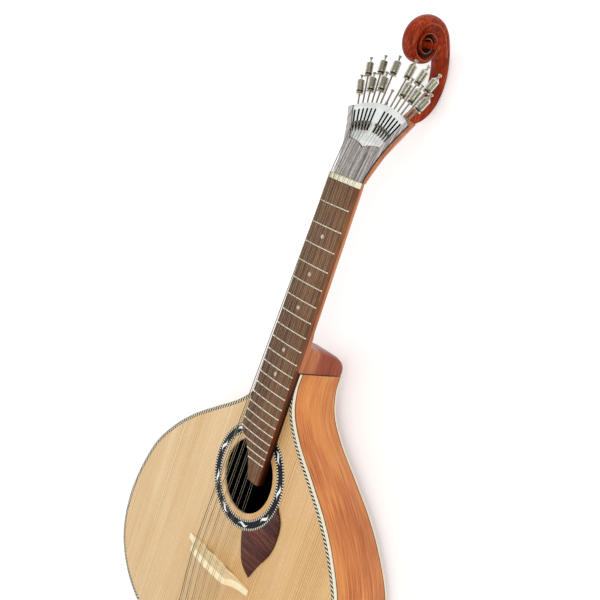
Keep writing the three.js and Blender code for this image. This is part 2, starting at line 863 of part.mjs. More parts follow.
function headVeneer() {
  const steps = 12;
  const from = nutLength + gap;
  const to = headLength + cutOverrun;
  const stations = Array.from({ length: steps + 1 }, (_, i) => from + ((to - from) * i) / steps);
  const right = stations.map((along) => new THREE.Vector2(headHalfWidth(along), along));
  const left = right.map((point) => new THREE.Vector2(-point.x, point.y)).reverse();
  const sheet = toSolid(flatSlab([...right, ...left], veneerRise, veneerRise - veneerThickness));
  const disc = flatSlab(circle(fanRimRadius, 0, 0, 96), cutOverrun, -cutOverrun);
  const plate = flatSlab(fanPlateOutline(gap), cutOverrun, -cutOverrun);
  const past = flatSlab(
    arcSectorTo(fanHalfDegrees + THREE.MathUtils.radToDeg(gap / slotInnerRadius)),
    cutOverrun,
    -cutOverrun,
  );
  return fromSolid(sheet.intersect(toSolid(disc)).subtract(toSolid(plate)).subtract(toSolid(past)));
}

/** A wedge from the slots' inner ends out past the rim, used to open the head's end. */
function arcSectorTo(halfDegrees) {
  return [
    ...arcPoints(fanRimRadius + cutOverrun, -halfDegrees, halfDegrees, 12),
    ...arcPoints(slotInnerRadius, halfDegrees, -halfDegrees, 8),
  ];
}

// Neck

/** One cross-section of the neck, from its flat top round its underside. */
function neckSection({ along, halfWidth, top, wall, bottom, keel, fullness }) {
  const right = Array.from({ length: neckArcSteps + 1 }, (_, i) => {
    const turn = (Math.PI / 2) * (i / neckArcSteps);
    const across = keel + (halfWidth - keel) * Math.cos(turn) ** (2 / fullness);
    const down = (top - wall - bottom) * Math.sin(turn) ** (2 / fullness);
    return new THREE.Vector3(across, along, top - wall - down);
  });
  const left = right.map((point) => new THREE.Vector3(-point.x, point.y, point.z)).reverse();
  return [
    new THREE.Vector3(-halfWidth, along, top),
    new THREE.Vector3(halfWidth, along, top),
    ...right,
    ...left,
  ];
}

/** Sections of the heel: how far along it, how deep and how full each one is. */
const heelShares = [
  { along: 0, depth: 1, fullness: 9, keel: 0.5 },
  { along: 0.32, depth: 1, fullness: 6, keel: 0.45 },
  { along: 0.6, depth: 0.99, fullness: 3, keel: 0.35 },
  { along: 0.84, depth: 0.98, fullness: 1.6, keel: 0.2 },
  { along: 1, depth: 0.8, fullness: 1.4, keel: 0.12 },
  { along: 1.16, depth: 0.5, fullness: 1.5, keel: 0.08 },
  { along: 1.4, depth: 0.29, fullness: 1.9, keel: 0.06 },
];

function heelSections() {
  const full = neckTop - backOuter({ y: bodyFront });
  return heelShares.map(({ along, depth, fullness, keel }) => {
    const distance = bodyStart - along * heelLength;
    const halfWidth = fingerboardHalfWidth(distance);
    return neckSection({
      along: -distance,
      halfWidth,
      top: neckTop,
      wall: heelTopMargin,
      bottom: neckTop - full * depth,
      keel: keel * halfWidth,
      fullness,
    });
  });
}

function shaftSections() {
  const stations = [bodyStart - 1.8 * heelLength, scaleLength / 4, nutLength, gap - nutLength];
  return stations.map((distance) => {
    const halfWidth = fingerboardHalfWidth(distance);
    return neckSection({
      along: -distance,
      halfWidth: distance < 0 ? headShaftHalfWidth : halfWidth,
      top: neckTop,
      wall: gap,
      bottom: neckTop - neckDepth,
      keel: shaftKeelShare * halfWidth,
      fullness: 2.3,
    });
  });
}

function keelHeight(along) {
  const share = (along - nutLength) / (headLength - nutLength);
  return -headKeelStart - (headKeelDrop - headKeelStart) * share;
}

const headShares = [
  { along: 0, fullness: 1.8, wall: 0.2 },
  { along: 0.2, fullness: 1.35, wall: 0.6 },
  { along: 0.36, fullness: 1.12, wall: 0.9 },
  { along: 0.54, fullness: 1, wall: 1 },
  { along: 0.76, fullness: 1, wall: 1 },
  { along: 1, fullness: 1, wall: 1 },
  { along: 1.24, fullness: 1, wall: 1 },
];

function headSections() {
  return headShares.map(({ along, fullness, wall }) => {
    const place = Math.max(along * headLength, nutLength);
    return neckSection({
      along: place,
      halfWidth: headHalfWidth(place),
      top: headPlaneHeight(place) + woodTop / Math.cos(headTilt),
      wall: headWall * wall,
      bottom: keelHeight(place),
      keel: keelHalfWidth,
      fullness,
    });
  });
}

function neck() {
  const shaft = toSolid(loft([...heelSections(), ...shaftSections(), ...headSections()]));
  const round = flatSlab(circle(fanRimRadius, 0, 0, 96), cutOverrun, -2 * headKeelDrop);
  round.applyMatrix4(headMatrix());
  const keep = flatSlab(
    rectangle(-bodyHalfWidth, bodyHalfWidth, -bodyStart - cutOverrun, nutLength),
    cutOverrun,
    -2 * headKeelDrop,
  );
  const half = fanHalfDegrees + THREE.MathUtils.radToDeg(gap / slotInnerRadius);
  const wellOutline = [
    ...arcPoints(fanRimRadius + cutOverrun, -half, half, 16),
    ...arcPoints(trayInnerRadius - gap, half, -half, 12),
  ];
  const well = flatSlab(wellOutline, cutOverrun, -trayDepth - gap);
  well.applyMatrix4(headMatrix());
  const bounded = shaft.intersect(toSolid(round).add(toSolid(keep)));
  return fromSolid(bounded.subtract(toSolid(well)).add(fingerboardSupport()));
}

// Scroll

function scrollPlace(along, drop, x) {
  return new THREE.Vector3(x, along, -drop);
}

function scrollSpiralRadius(turns) {
  return scrollRadius * scrollDecayShare ** turns;
}

function scrollHalfWidthAt(turns) {
  return scrollStartHalfWidth + scrollWidthGain * turns;
}

/** A place around the volute's middle. Turns count from the lowest place, through the far end. */
function volutePlace(turns, radius, x) {
  const angle = 2 * Math.PI * turns - Math.PI / 2;
  const along = scrollCentreAlong + radius * Math.cos(angle);
  return scrollPlace(along, scrollCentreDrop - radius * Math.sin(angle), x);
}

/**
 * The volute: each turn of the spiral stands further out than the one around it. On each side there
 * are edge points on the spiral, foot points where a turn rises from the turn outside it, and the
 * ring and the middle of the eye.
 */
function volute() {
  const perTurn = scrollStepsPerTurn;
  const count = scrollTurns * perTurn;
  const inner = count - perTurn;
  const points = [];
  const triangles = [];
  const add = (point) => points.push(point) - 1;
  const face = (corners, side) => {
    const ring = side > 0 ? corners : corners.slice().reverse();
    for (let i = 1; i < ring.length - 1; i += 1) triangles.push([ring[0], ring[i], ring[i + 1]]);
  };
  const sides = [1, -1].map((side) => {
    const edge = [];
    const foot = [];
    const eyeFoot = [];
    const eyeRing = [];
    for (let i = 0; i <= count; i += 1) {
      const turns = i / perTurn;
      const wide = side * scrollHalfWidthAt(turns);
      edge.push(add(volutePlace(turns, scrollSpiralRadius(turns), wide)));
      const under = side * scrollHalfWidthAt(turns - 1);
      foot.push(i < perTurn ? -1 : add(volutePlace(turns, scrollSpiralRadius(turns), under)));
      eyeFoot.push(i < inner ? -1 : add(volutePlace(turns, scrollEyeRadius, wide)));
    }
    for (let i = 0; i < perTurn; i += 1) {
      const turns = i / perTurn;
      const tip = side * scrollEyeHalfWidth;
      eyeRing.push(add(volutePlace(turns, scrollEyeRadius * scrollEyeTipShare, tip)));
    }
    const eyeMiddle = add(volutePlace(0, 0, side * (scrollEyeHalfWidth + scrollEyeCrown)));
    for (let i = 0; i < inner; i += 1) {
      const under = i + perTurn;
      face([edge[i], edge[i + 1], foot[under + 1], foot[under]], side);
      face([foot[under], foot[under + 1], edge[under + 1], edge[under]], side);
    }
    for (let i = inner; i < count; i += 1) {
      const first = i === inner;
      const k = i - inner;
      const next = (k + 1) % perTurn;
      const step = [edge[i], edge[i + 1], eyeFoot[i + 1], eyeFoot[i]];
      face(first ? [...step, foot[count]] : step, side);
      const wall = [eyeFoot[i], eyeFoot[i + 1], eyeRing[next], eyeRing[k]];
      face(first ? [...wall, eyeFoot[count]] : wall, side);
      face([eyeRing[k], eyeRing[next], eyeMiddle], side);
    }
    face([eyeFoot[count], edge[count], foot[count], eyeFoot[inner]], side);
    return { edge, foot };
  });
  const [near, far] = sides;
  for (let i = 0; i < perTurn - 1; i += 1) {
    face([near.edge[i], far.edge[i], far.edge[i + 1], near.edge[i + 1]], 1);
  }
  const end = perTurn;
  const closing = [near.edge[end - 1], far.edge[end - 1], far.edge[end], far.foot[end]];
  face([...closing, near.foot[end], near.edge[end]], 1);
  face([near.edge[0], near.foot[end], far.foot[end], far.edge[0]], 1);
  return closedGeometry(points, triangles);
}

function spiralPoint(turns) {
  const place = volutePlace(turns, scrollSpiralRadius(turns), 0);
  return new THREE.Vector2(place.y, -place.z);
}

/** The back line of the stem, from the head's end until it runs into the spiral. */
function stemBackLine() {
  const footDrop = headKeelDrop - stemFootRise;
  const foot = new THREE.Vector2(headEndAlong(footDrop) + gap, footDrop);
  const end = spiralPoint(stemJoinShare);
  const ahead = spiralPoint(stemJoinShare * 1.1).sub(end).normalize();
  return new THREE.CubicBezierCurve(
    foot,
    new THREE.Vector2(foot.x + stemKneeAlong, foot.y + stemKneeDrop),
    end.clone().addScaledVector(ahead, -stemReach),
    end,
  );
}

/** Where the head's round end lies at a depth under the nut, on the middle plane. */
function headEndAlong(drop) {
  const down = (drop - headDrop - fanRimRadius * Math.sin(headTilt)) / Math.cos(headTilt);
  return fanRimRadius * Math.cos(headTilt) - down * Math.sin(headTilt);
}

function scrollStem() {
  const line = stemBackLine();
  const steps = 10;
  const rings = Array.from({ length: steps + 1 }, (_, i) => {
    const share = i / steps;
    const back = line.getPoint(share);
    const along = line.getTangent(share);
    const inward = new THREE.Vector2(along.y, -along.x);
    const start = new THREE.Vector2(Math.sin(headTilt), -Math.cos(headTilt));
    const across = i === 0 ? start : inward;
    const front = back.clone().addScaledVector(across, stemDepth);
    const half = THREE.MathUtils.lerp(keelHalfWidth, scrollStartHalfWidth, share);
    return [[-half, back], [half, back], [half, front], [-half, front]].map(
      ([x, place]) => scrollPlace(place.x, place.y, x),
    );
  });
  return loft(rings);
}

function scroll() {
  return fromSolid(mainPiece(joined([scrollStem(), volute()])));
}

// Strings and what they bear on

function courseOffset(index, courseSpacing, pairSpacing) {
  const course = Math.floor(index / 2) - (courseCount - 1) / 2;
  const side = index % 2 === 0 ? -1 : 1;
  return course * courseSpacing + (side * pairSpacing) / 2;
}

function nutHeight(x) {
  return camberAt(x, nutWidth / 2) + nutRise;
}

function bridgeHeight(x) {
  return bridgeTopRise - x ** 2 / (2 * bridgeCrownRadius);
}

function nut() {
  const bottom = neckTop + gap;
  return camberedBar(-gap, -nutLength, bottom, nutRise, 0);
}

function bridge() {
  const foot = soundboardTop + gap;
  const steps = 8;
  const crown = Array.from({ length: steps + 1 }, (_, i) => {
    const x = bridgeCrownHalfWidth * (1 - (2 * i) / steps);
    return new THREE.Vector2(x, bridgeHeight(x));
  });
  const shape = new THREE.Shape();
  const tip = foot + bridgeTipHeight;
  const arch = bridgeHalfLength / 3;
  shape.moveTo(-bridgeHalfLength, foot);
  [-1, 1].forEach((side) => {
    const left = side * arch - arch / 2;
    const right = side * arch + arch / 2;
    shape.lineTo(left, foot);
    shape.quadraticCurveTo(side * arch, foot + 2 * bridgeArchHeight, right, foot);
  });
  shape.lineTo(bridgeHalfLength, foot);
  shape.lineTo(bridgeHalfLength, tip);
  shape.quadraticCurveTo(bridgeCrownHalfWidth + bridgeTipHeight, tip, crown[0].x, crown[0].y);
  crown.slice(1).forEach((point) => shape.lineTo(point.x, point.y));
  shape.quadraticCurveTo(-bridgeCrownHalfWidth - bridgeTipHeight, tip, -bridgeHalfLength, tip);
  shape.closePath();
  const geometry = new THREE.ExtrudeGeometry(shape, {
    depth: bridgeThickness,
    bevelEnabled: false,
    curveSegments: 5,
  });
  geometry.rotateX(Math.PI / 2);
  geometry.translate(0, bridgeAlong + bridgeThickness / 2, 0);
  return closed(geometry);
}

/** A place on the outline at the tail, at a distance from the middle. */
function tailFrameAt(x) {
  const next = rim.findIndex(({ point }) => point.y < -soundHoleDistance && point.x <= x);
  const [a, b] = [rim[next - 1], rim[next]];
  const share = (a.point.x - x) / (a.point.x - b.point.x);
  return {
    point: a.point.clone().lerp(b.point, share),
    inward: a.inward.clone().lerp(b.inward, share).normalize(),
  };
}

function tailFrames(halfWidth) {
  const inner = rim.filter(({ point }) => Math.abs(point.x) < halfWidth - gap && point.y < -soundHoleDistance);
  return [tailFrameAt(halfWidth), ...inner, tailFrameAt(-halfWidth)];
}

/** Where the body's outer edge lies at the tail, at a distance from the middle. */
function tailAlong(x) {
  return tailFrameAt(x).point.y;
}

function tailSaddle() {
  const low = () => soundboardTop + gap;
  const high = () => soundboardTop + gap + tailSaddleHeight;
  return rimStrip(tailFrames(tailSaddleHalfWidth), [
    [gap, low],
    [gap, high],
    [gap + tailSaddleWidth, high],
    [gap + tailSaddleWidth, low],
  ]);
}

function pinPlace(index) {
  const x = courseOffset(index, bridgeCourseSpacing, bridgePairSpacing);
  const drop = tailpieceTop + upperPinDrop + (index % 2) * pinRowSpacing;
  return { x, z: soundboardTop - drop + soundboardDrop };
}

function tailPin(index) {
  const { x, z } = pinPlace(index);
  const pin = turned([
    [0, 0],
    [pinRadius, 0],
    [pinRadius, tailpieceThickness + pinLength],
    [pinHeadRadius, tailpieceThickness + pinLength],
    [pinHeadRadius, tailpieceThickness + pinLength + pinHeadLength],
    [0, tailpieceThickness + pinLength + pinHeadLength],
  ], screwSides);
  pin.rotateX(Math.PI);
  pin.translate(x, tailAlong(x) - gap, z);
  return pin;
}

function tailpiece() {
  const low = () => -tailpieceTop - tailpieceHeight;
  const high = () => -tailpieceTop;
  const plate = rimStrip(tailFrames(tailpieceHalfWidth), [
    [-gap, low],
    [-gap, high],
    [-tailpieceFace, high],
    [-tailpieceFace, low],
  ]);
  const pins = Array.from({ length: 2 * courseCount }, (_, i) => tailPin(i));
  return fromSolid(joined([plate, ...pins]));
}

function stringRoute(index) {
  const radius = stringDiameters[index] / 2;
  const nutX = courseOffset(index, nutCourseSpacing, nutPairSpacing);
  const bridgeX = courseOffset(index, bridgeCourseSpacing, bridgePairSpacing);
  const end = polar(hookRadius - hookStemLength / 2 - gap, slotDegrees(index));
  const hook = new THREE.Vector3(end.x, end.y, hookStringRise).applyMatrix4(headMatrix());
  const lift = radius + runningClearance;
  const nutZ = nutHeight(nutX) + lift;
  const bridgeZ = bridgeHeight(bridgeX) + lift;
  const saddleZ = soundboardTop + gap + tailSaddleHeight + lift;
  const tail = tailAlong(bridgeX);
  const { z: pinZ } = pinPlace(index);
  const halfBridge = bridgeThickness / 2;
  return [
    hook,
    new THREE.Vector3(nutX, nutLength, nutZ),
    new THREE.Vector3(nutX, 0, nutZ),
    new THREE.Vector3(bridgeX, bridgeAlong + halfBridge, bridgeZ),
    new THREE.Vector3(bridgeX, bridgeAlong - halfBridge, bridgeZ),
    new THREE.Vector3(bridgeX, tail + gap + tailSaddleWidth, saddleZ),
    new THREE.Vector3(bridgeX, tail, saddleZ),
    new THREE.Vector3(bridgeX, tail - tailpieceFace - stringRun, saddleZ - stringRun * 2),
    new THREE.Vector3(bridgeX, tail - tailpieceFace - stringRun, pinZ + pinRadius + gap),
  ];
}

function stringGeometry(index) {
  return bar(stringRoute(index), stringDiameters[index] / 2, stringSides);
}

// Tuning lines

/** A tuning screw: threaded rod and knob, along +y from the middle of the nut. */
function tuningScrew(knobStart) {
  const inner = trayInnerRadius + screwEndMargin;
  const groove = knobStart + knobFlangeLength;
  const grip = groove + knobGrooveLength;
  const cone = grip + knobGripLength;
  const neckStart = cone + knobConeLength;
  const bead = neckStart + knobNeckLength;
  const end = bead + knobBeadLength;
  return turned([
    [0, inner],
    [screwRadius, inner],
    [screwRadius, knobStart],
    [knobRadius, knobStart],
    [knobRadius, groove],
    [knobGrooveRadius, groove],
    [knobGrooveRadius, grip],
    [knobRadius, grip],
    [knobRadius, cone],
    [knobNeckRadius, neckStart],
    [knobNeckRadius, bead],
    [knobBeadRadius, bead],
    [knobBeadRadius, end],
    [0, end],
  ], knobSides);
}

/** A hook: its nut on the screw, its stem through the slot and its beak over the string loop. */
function hook() {
  const halfBlock = hookBlockLength / 2;
  const blockTop = -screwDepth + hookBlockHeight / 2;
  const block = flatSlab(
    rectangle(-hookBlockWidth / 2, hookBlockWidth / 2, -halfBlock, halfBlock),
    blockTop,
    blockTop - hookBlockHeight,
  );
  const bore = turned([
    [0, -cutOverrun],
    [boreRadius, -cutOverrun],
    [boreRadius, cutOverrun],
    [0, cutOverrun],
  ], screwSides);
  bore.translate(0, 0, -screwDepth);
  const halfStem = hookStemLength / 2;
  const halfAcross = hookStemWidth / 2;
  const stemFoot = -screwDepth + boreRadius + (hookBlockHeight / 2 - boreRadius) / 2;
  const stem = flatSlab(
    rectangle(-halfAcross, halfAcross, -halfStem, halfStem),
    hookStemRise,
    stemFoot,
  );
  const beak = flatSlab(
    rectangle(-halfAcross, halfAcross, -halfStem - hookBeakReach, halfStem),
    hookStemRise,
    hookStemRise - hookBeakThickness,
  );
  return fromSolid(joined([block, stem, beak]).subtract(toSolid(bore)));
}

function tuningLine(index) {
  const line = new THREE.Group();
  line.rotation.z = -THREE.MathUtils.degToRad(slotDegrees(index));
  const fromMiddle = index < courseCount ? courseCount - 1 - index : index - courseCount;
  const long = fromMiddle % 2 === 0;
  const number = index + 1;
  const screw = part(
    `tuning_screw_${number}`,
    tuningScrew(long ? longKnobRadius : shortKnobRadius),
    finishes.nickel,
  );
  screw.position.z = -screwDepth;
  const catcher = part(`string_hook_${number}`, hook(), finishes.nickel);
  catcher.position.y = hookRadius;
  line.add(screw, catcher);
  return line;
}

// Assembly

function head() {
  const group = new THREE.Group();
  group.position.z = -headDrop;
  group.rotation.x = -headTilt;
  group.add(part('head_veneer', headVeneer(), finishes.veneer));
  group.add(part('fan_plate', fanPlate(), finishes.plate));
  group.add(part('fan_frame', fanFrame(), finishes.nickel));
  for (let index = 0; index < 2 * courseCount; index += 1) group.add(tuningLine(index));
  return group;
}

function bodyParts() {
  const topBand = () => soundboardTop - bindingHeight;
  const backBand = (point) => backOuter(point) + bindingHeight;
  return [
    part('soundboard', soundboard(), finishes.spruce),
    part('back', slab(insetOutline(innerEdge), backInner, backOuter), finishes.mahogany),
    part('rib_treble', rib(1), finishes.mahogany),
    part('rib_bass', rib(-1), finishes.mahogany),
    part('top_binding', bindingStrip(topBand, () => soundboardTop), finishes.bone),
    part('back_binding', bindingStrip(backOuter, backBand), finishes.bone),
    part('rosette', rosette(), finishes.inlay),
    part('finger_plate', fingerPlate(), finishes.rosewood),
    part('neck_block', neckBlock(), finishes.lining),
    part('tail_block', tailBlock(), finishes.lining),
    ...topBraceShares.map((share, i) => part(`top_brace_${i + 1}`, topBrace(share), finishes.lining)),
    ...backBraceShares.map((share, i) => part(`back_brace_${i + 1}`, backBrace(share), finishes.lining)),
  ];
}

function stringParts() {
  return stringDiameters.map((_, i) => part(`string_${i + 1}`, stringGeometry(i), finishes.steel));
}

/** How far the instrument leans back so that its tail edge and its scroll both touch the floor. */
function restTilt() {
  const line = stemBackLine();
  const steps = 40;
  const leans = Array.from({ length: steps + 1 }, (_, i) => {
    const place = line.getPoint(i / steps);
    return Math.atan2(tailDrop - place.y, place.x - bodyTail);
  });
  return Math.min(...leans);
}

function instrument() {
  const group = new THREE.Group();
  group.add(...bodyParts());
  group.add(part('neck', neck(), finishes.mahogany));
  group.add(part('scroll', scroll(), finishes.scrollWood));
  group.add(part('fingerboard', fingerboard(), finishes.rosewood));
  group.add(part('nut', nut(), finishes.bone));
  group.add(part('bridge', bridge(), finishes.bone));
  group.add(part('tail_saddle', tailSaddle(), finishes.bone));
  group.add(part('tailpiece', tailpiece(), finishes.nickel));
  group.add(head());
  group.add(...stringParts());
  return group;
}

/** Moves a group so that the middle of its box's foot is the origin. */
function stood(group) {
  const box = new THREE.Box3().setFromObject(group, true);
  const middle = box.getCenter(new THREE.Vector3());
  group.position.set(-middle.x, -middle.y, -box.min.z);
  return group;
}

const guitar = new THREE.Group();
const body = instrument();
body.rotation.x = -restTilt();
guitar.add(stood(body));

export default guitar;
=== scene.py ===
"""Looks of a twelve-string Portuguese guitar lying on its back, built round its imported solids.

Sizes are millimetres in the instrument's own frame: x to the treble side, y to the head, z out of
the soundboard, with the origin at the front edge of the nut on the plane of the fret ends. The
workshop turns them into metres where the solids lie.
"""

import json
import logging
import math
from dataclasses import dataclass, field
from enum import Enum
from typing import Callable, Mapping, Sequence

import bmesh
import bpy
import numpy as np
from mathutils import Matrix, Vector
from mathutils.geometry import tessellate_polygon


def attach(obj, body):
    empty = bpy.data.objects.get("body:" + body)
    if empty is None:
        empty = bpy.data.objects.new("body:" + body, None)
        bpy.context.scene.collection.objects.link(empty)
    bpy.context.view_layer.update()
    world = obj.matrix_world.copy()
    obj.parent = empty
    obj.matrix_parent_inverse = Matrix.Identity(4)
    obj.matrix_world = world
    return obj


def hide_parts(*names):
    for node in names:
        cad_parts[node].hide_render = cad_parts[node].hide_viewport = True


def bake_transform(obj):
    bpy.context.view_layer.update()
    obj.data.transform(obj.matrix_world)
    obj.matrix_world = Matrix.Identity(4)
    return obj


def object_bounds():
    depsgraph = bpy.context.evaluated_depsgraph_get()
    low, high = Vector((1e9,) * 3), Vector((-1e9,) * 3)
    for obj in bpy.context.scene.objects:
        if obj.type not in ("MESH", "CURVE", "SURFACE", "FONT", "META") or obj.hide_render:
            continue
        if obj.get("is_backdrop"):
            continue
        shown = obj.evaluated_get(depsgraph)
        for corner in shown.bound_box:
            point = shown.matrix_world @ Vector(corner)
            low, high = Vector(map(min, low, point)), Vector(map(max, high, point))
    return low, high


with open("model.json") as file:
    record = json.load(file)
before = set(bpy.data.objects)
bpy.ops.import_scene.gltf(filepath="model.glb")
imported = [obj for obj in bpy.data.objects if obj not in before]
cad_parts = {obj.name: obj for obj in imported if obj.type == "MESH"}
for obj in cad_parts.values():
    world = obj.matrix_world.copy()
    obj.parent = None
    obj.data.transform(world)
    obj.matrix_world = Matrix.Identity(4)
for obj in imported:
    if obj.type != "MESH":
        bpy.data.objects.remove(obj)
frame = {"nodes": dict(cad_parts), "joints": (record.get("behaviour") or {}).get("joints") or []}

MM = 0.001
COURSES = 6
STRINGS = 2 * COURSES
AXIS_RADIUS = 0.01
CAD_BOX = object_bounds()
Pair = tuple[float, float]
Plan = Sequence[Pair]
HeightAt = Callable[[float, float], float]
Rise = float | Callable[[float], float]
Socket = bpy.types.NodeSocket
Sockets = Mapping[str | int, Socket]
log = logging.getLogger("guitar")


class Slot(Enum):
    """The record's material slots."""

    SPRUCE = "spruce"
    MAHOGANY = "mahogany"
    SCROLL_WOOD = "scroll_wood"
    ROSEWOOD = "rosewood"
    VENEER = "veneer"
    BONE = "bone"
    BINDING = "binding"
    INLAY = "inlay"
    NICKEL = "nickel"
    PLATE = "plate"
    STEEL = "steel"
    WOUND = "wound"


# Curves in plan


def hermite(t: float, a: np.ndarray, leave: np.ndarray, b: np.ndarray, arrive: np.ndarray) -> np.ndarray:
    """A place on a smooth line from a to b.

    Args:
        t: how far along it, from 0 to 1.
        a: the start.
        leave: the direction at the start.
        b: the end.
        arrive: the direction at the end.

    Returns:
        The place.
    """
    start, end = 2 * t**3 - 3 * t**2 + 1, 3 * t**2 - 2 * t**3
    return start * a + (t**3 - 2 * t**2 + t) * leave + end * b + (t**3 - t**2) * arrive


def curve_through(places: Plan, per_span: int) -> np.ndarray:
    """A smooth line through places, by the centripetal rule.

    Args:
        places: the places that the line runs through.
        per_span: how many steps lie between two places.

    Returns:
        The line's points, one row each.
    """
    known = np.array(places, float)
    ends = [2 * known[0] - known[1], *known, 2 * known[-1] - known[-2]]
    points = [known[0]]
    for before, a, b, after in zip(ends, ends[1:], ends[2:], ends[3:]):
        spans = [max(np.linalg.norm(q - p), 1e-9) ** 0.5 for p, q in ((before, a), (a, b), (b, after))]
        first, middle, last = spans
        leave = (a - before) / first - (b - before) / (first + middle) + (b - a) / middle
        arrive = (b - a) / middle - (after - a) / (middle + last) + (after - b) / last
        steps = [step / per_span for step in range(1, per_span + 1)]
        points += [hermite(t, a, leave * middle, b, arrive * middle) for t in steps]
    return np.array(points)


def evenly(points: np.ndarray, count: int) -> np.ndarray:
    """The same line with evenly spaced points.

    Args:
        points: the line.
        count: how many steps the new line has.

    Returns:
        count + 1 points.
    """
    run = run_along(points)
    at = np.linspace(0, run[-1], count + 1)
    return np.stack([np.interp(at, run, points[:, k]) for k in range(points.shape[1])], axis=1)


def run_along(points: np.ndarray) -> np.ndarray:
    """How far each point of a line lies from its start, along the line."""
    return np.concatenate([[0], np.cumsum(np.linalg.norm(np.diff(points, axis=0), axis=1))])


def unit_rows(rows: np.ndarray) -> np.ndarray:
    """Each row scaled to a length of 1."""
    return rows / np.linalg.norm(rows, axis=1)[:, None]


def quadratic(a: Pair, b: Pair, c: Pair, steps: int) -> np.ndarray:
    """A parabola from a to c that leans toward b, in a number of steps."""
    t = np.linspace(0, 1, steps + 1)[:, None]
    return (1 - t) ** 2 * np.array(a, float) + 2 * t * (1 - t) * np.array(b) + t**2 * np.array(c, float)


def turned_place(radius: float, turn: float, middle: float) -> Pair:
    """A place round a point on the middle line, by its angle from the tail toward the treble side."""
    return (radius * math.sin(turn), middle - radius * math.cos(turn))


def ring_at(radius: float, along: float, steps: int) -> np.ndarray:
    """A circle of some steps round a place on the middle line."""
    turn = np.linspace(0, 2 * np.pi, steps, endpoint=False)
    return np.stack([radius * np.cos(turn), along + radius * np.sin(turn)], axis=1)


def fan_place(radius: float, degrees: float) -> np.ndarray:
    """A place in the plane of the head, by its distance from the nut's middle and its angle."""
    turn = math.radians(degrees)
    return np.array([radius * math.sin(turn), radius * math.cos(turn)])


def fan_arc(radius: float, start: float, end: float, steps: int) -> np.ndarray:
    """An arc round the nut's middle, between two angles."""
    return np.array([fan_place(radius, d) for d in np.linspace(start, end, steps + 1)])


def fan_sector(inner: float, outer: float, half: float, steps: tuple[int, int] = (48, 64)) -> np.ndarray:
    """A piece of ring round the nut's middle, between two radii and as far to both sides."""
    return np.array([*fan_arc(outer, -half, half, steps[1]), *fan_arc(inner, half, -half, steps[0])])


def eased(at: float, places: Sequence[float], values: Sequence[float]) -> float:
    """A value between known ones, without corners and without overshoot.

    Args:
        at: where the value is wanted.
        places: where the values are known, rising.
        values: the known values.

    Returns:
        The value.
    """
    x, y = np.array(places, float), np.array(values, float)
    if at <= x[0] or at >= x[-1]:
        return float(y[0] if at <= x[0] else y[-1])
    slopes = np.diff(y) / np.diff(x)
    inner = [0.0 if p * q <= 0 else 2 * p * q / (p + q) for p, q in zip(slopes, slopes[1:])]
    tangents = [slopes[0], *inner, slopes[-1]]
    i = int(np.searchsorted(x, at) - 1)
    span = x[i + 1] - x[i]
    return float(hermite((at - x[i]) / span, y[i], span * tangents[i], y[i + 1], span * tangents[i + 1]))


# Shapes


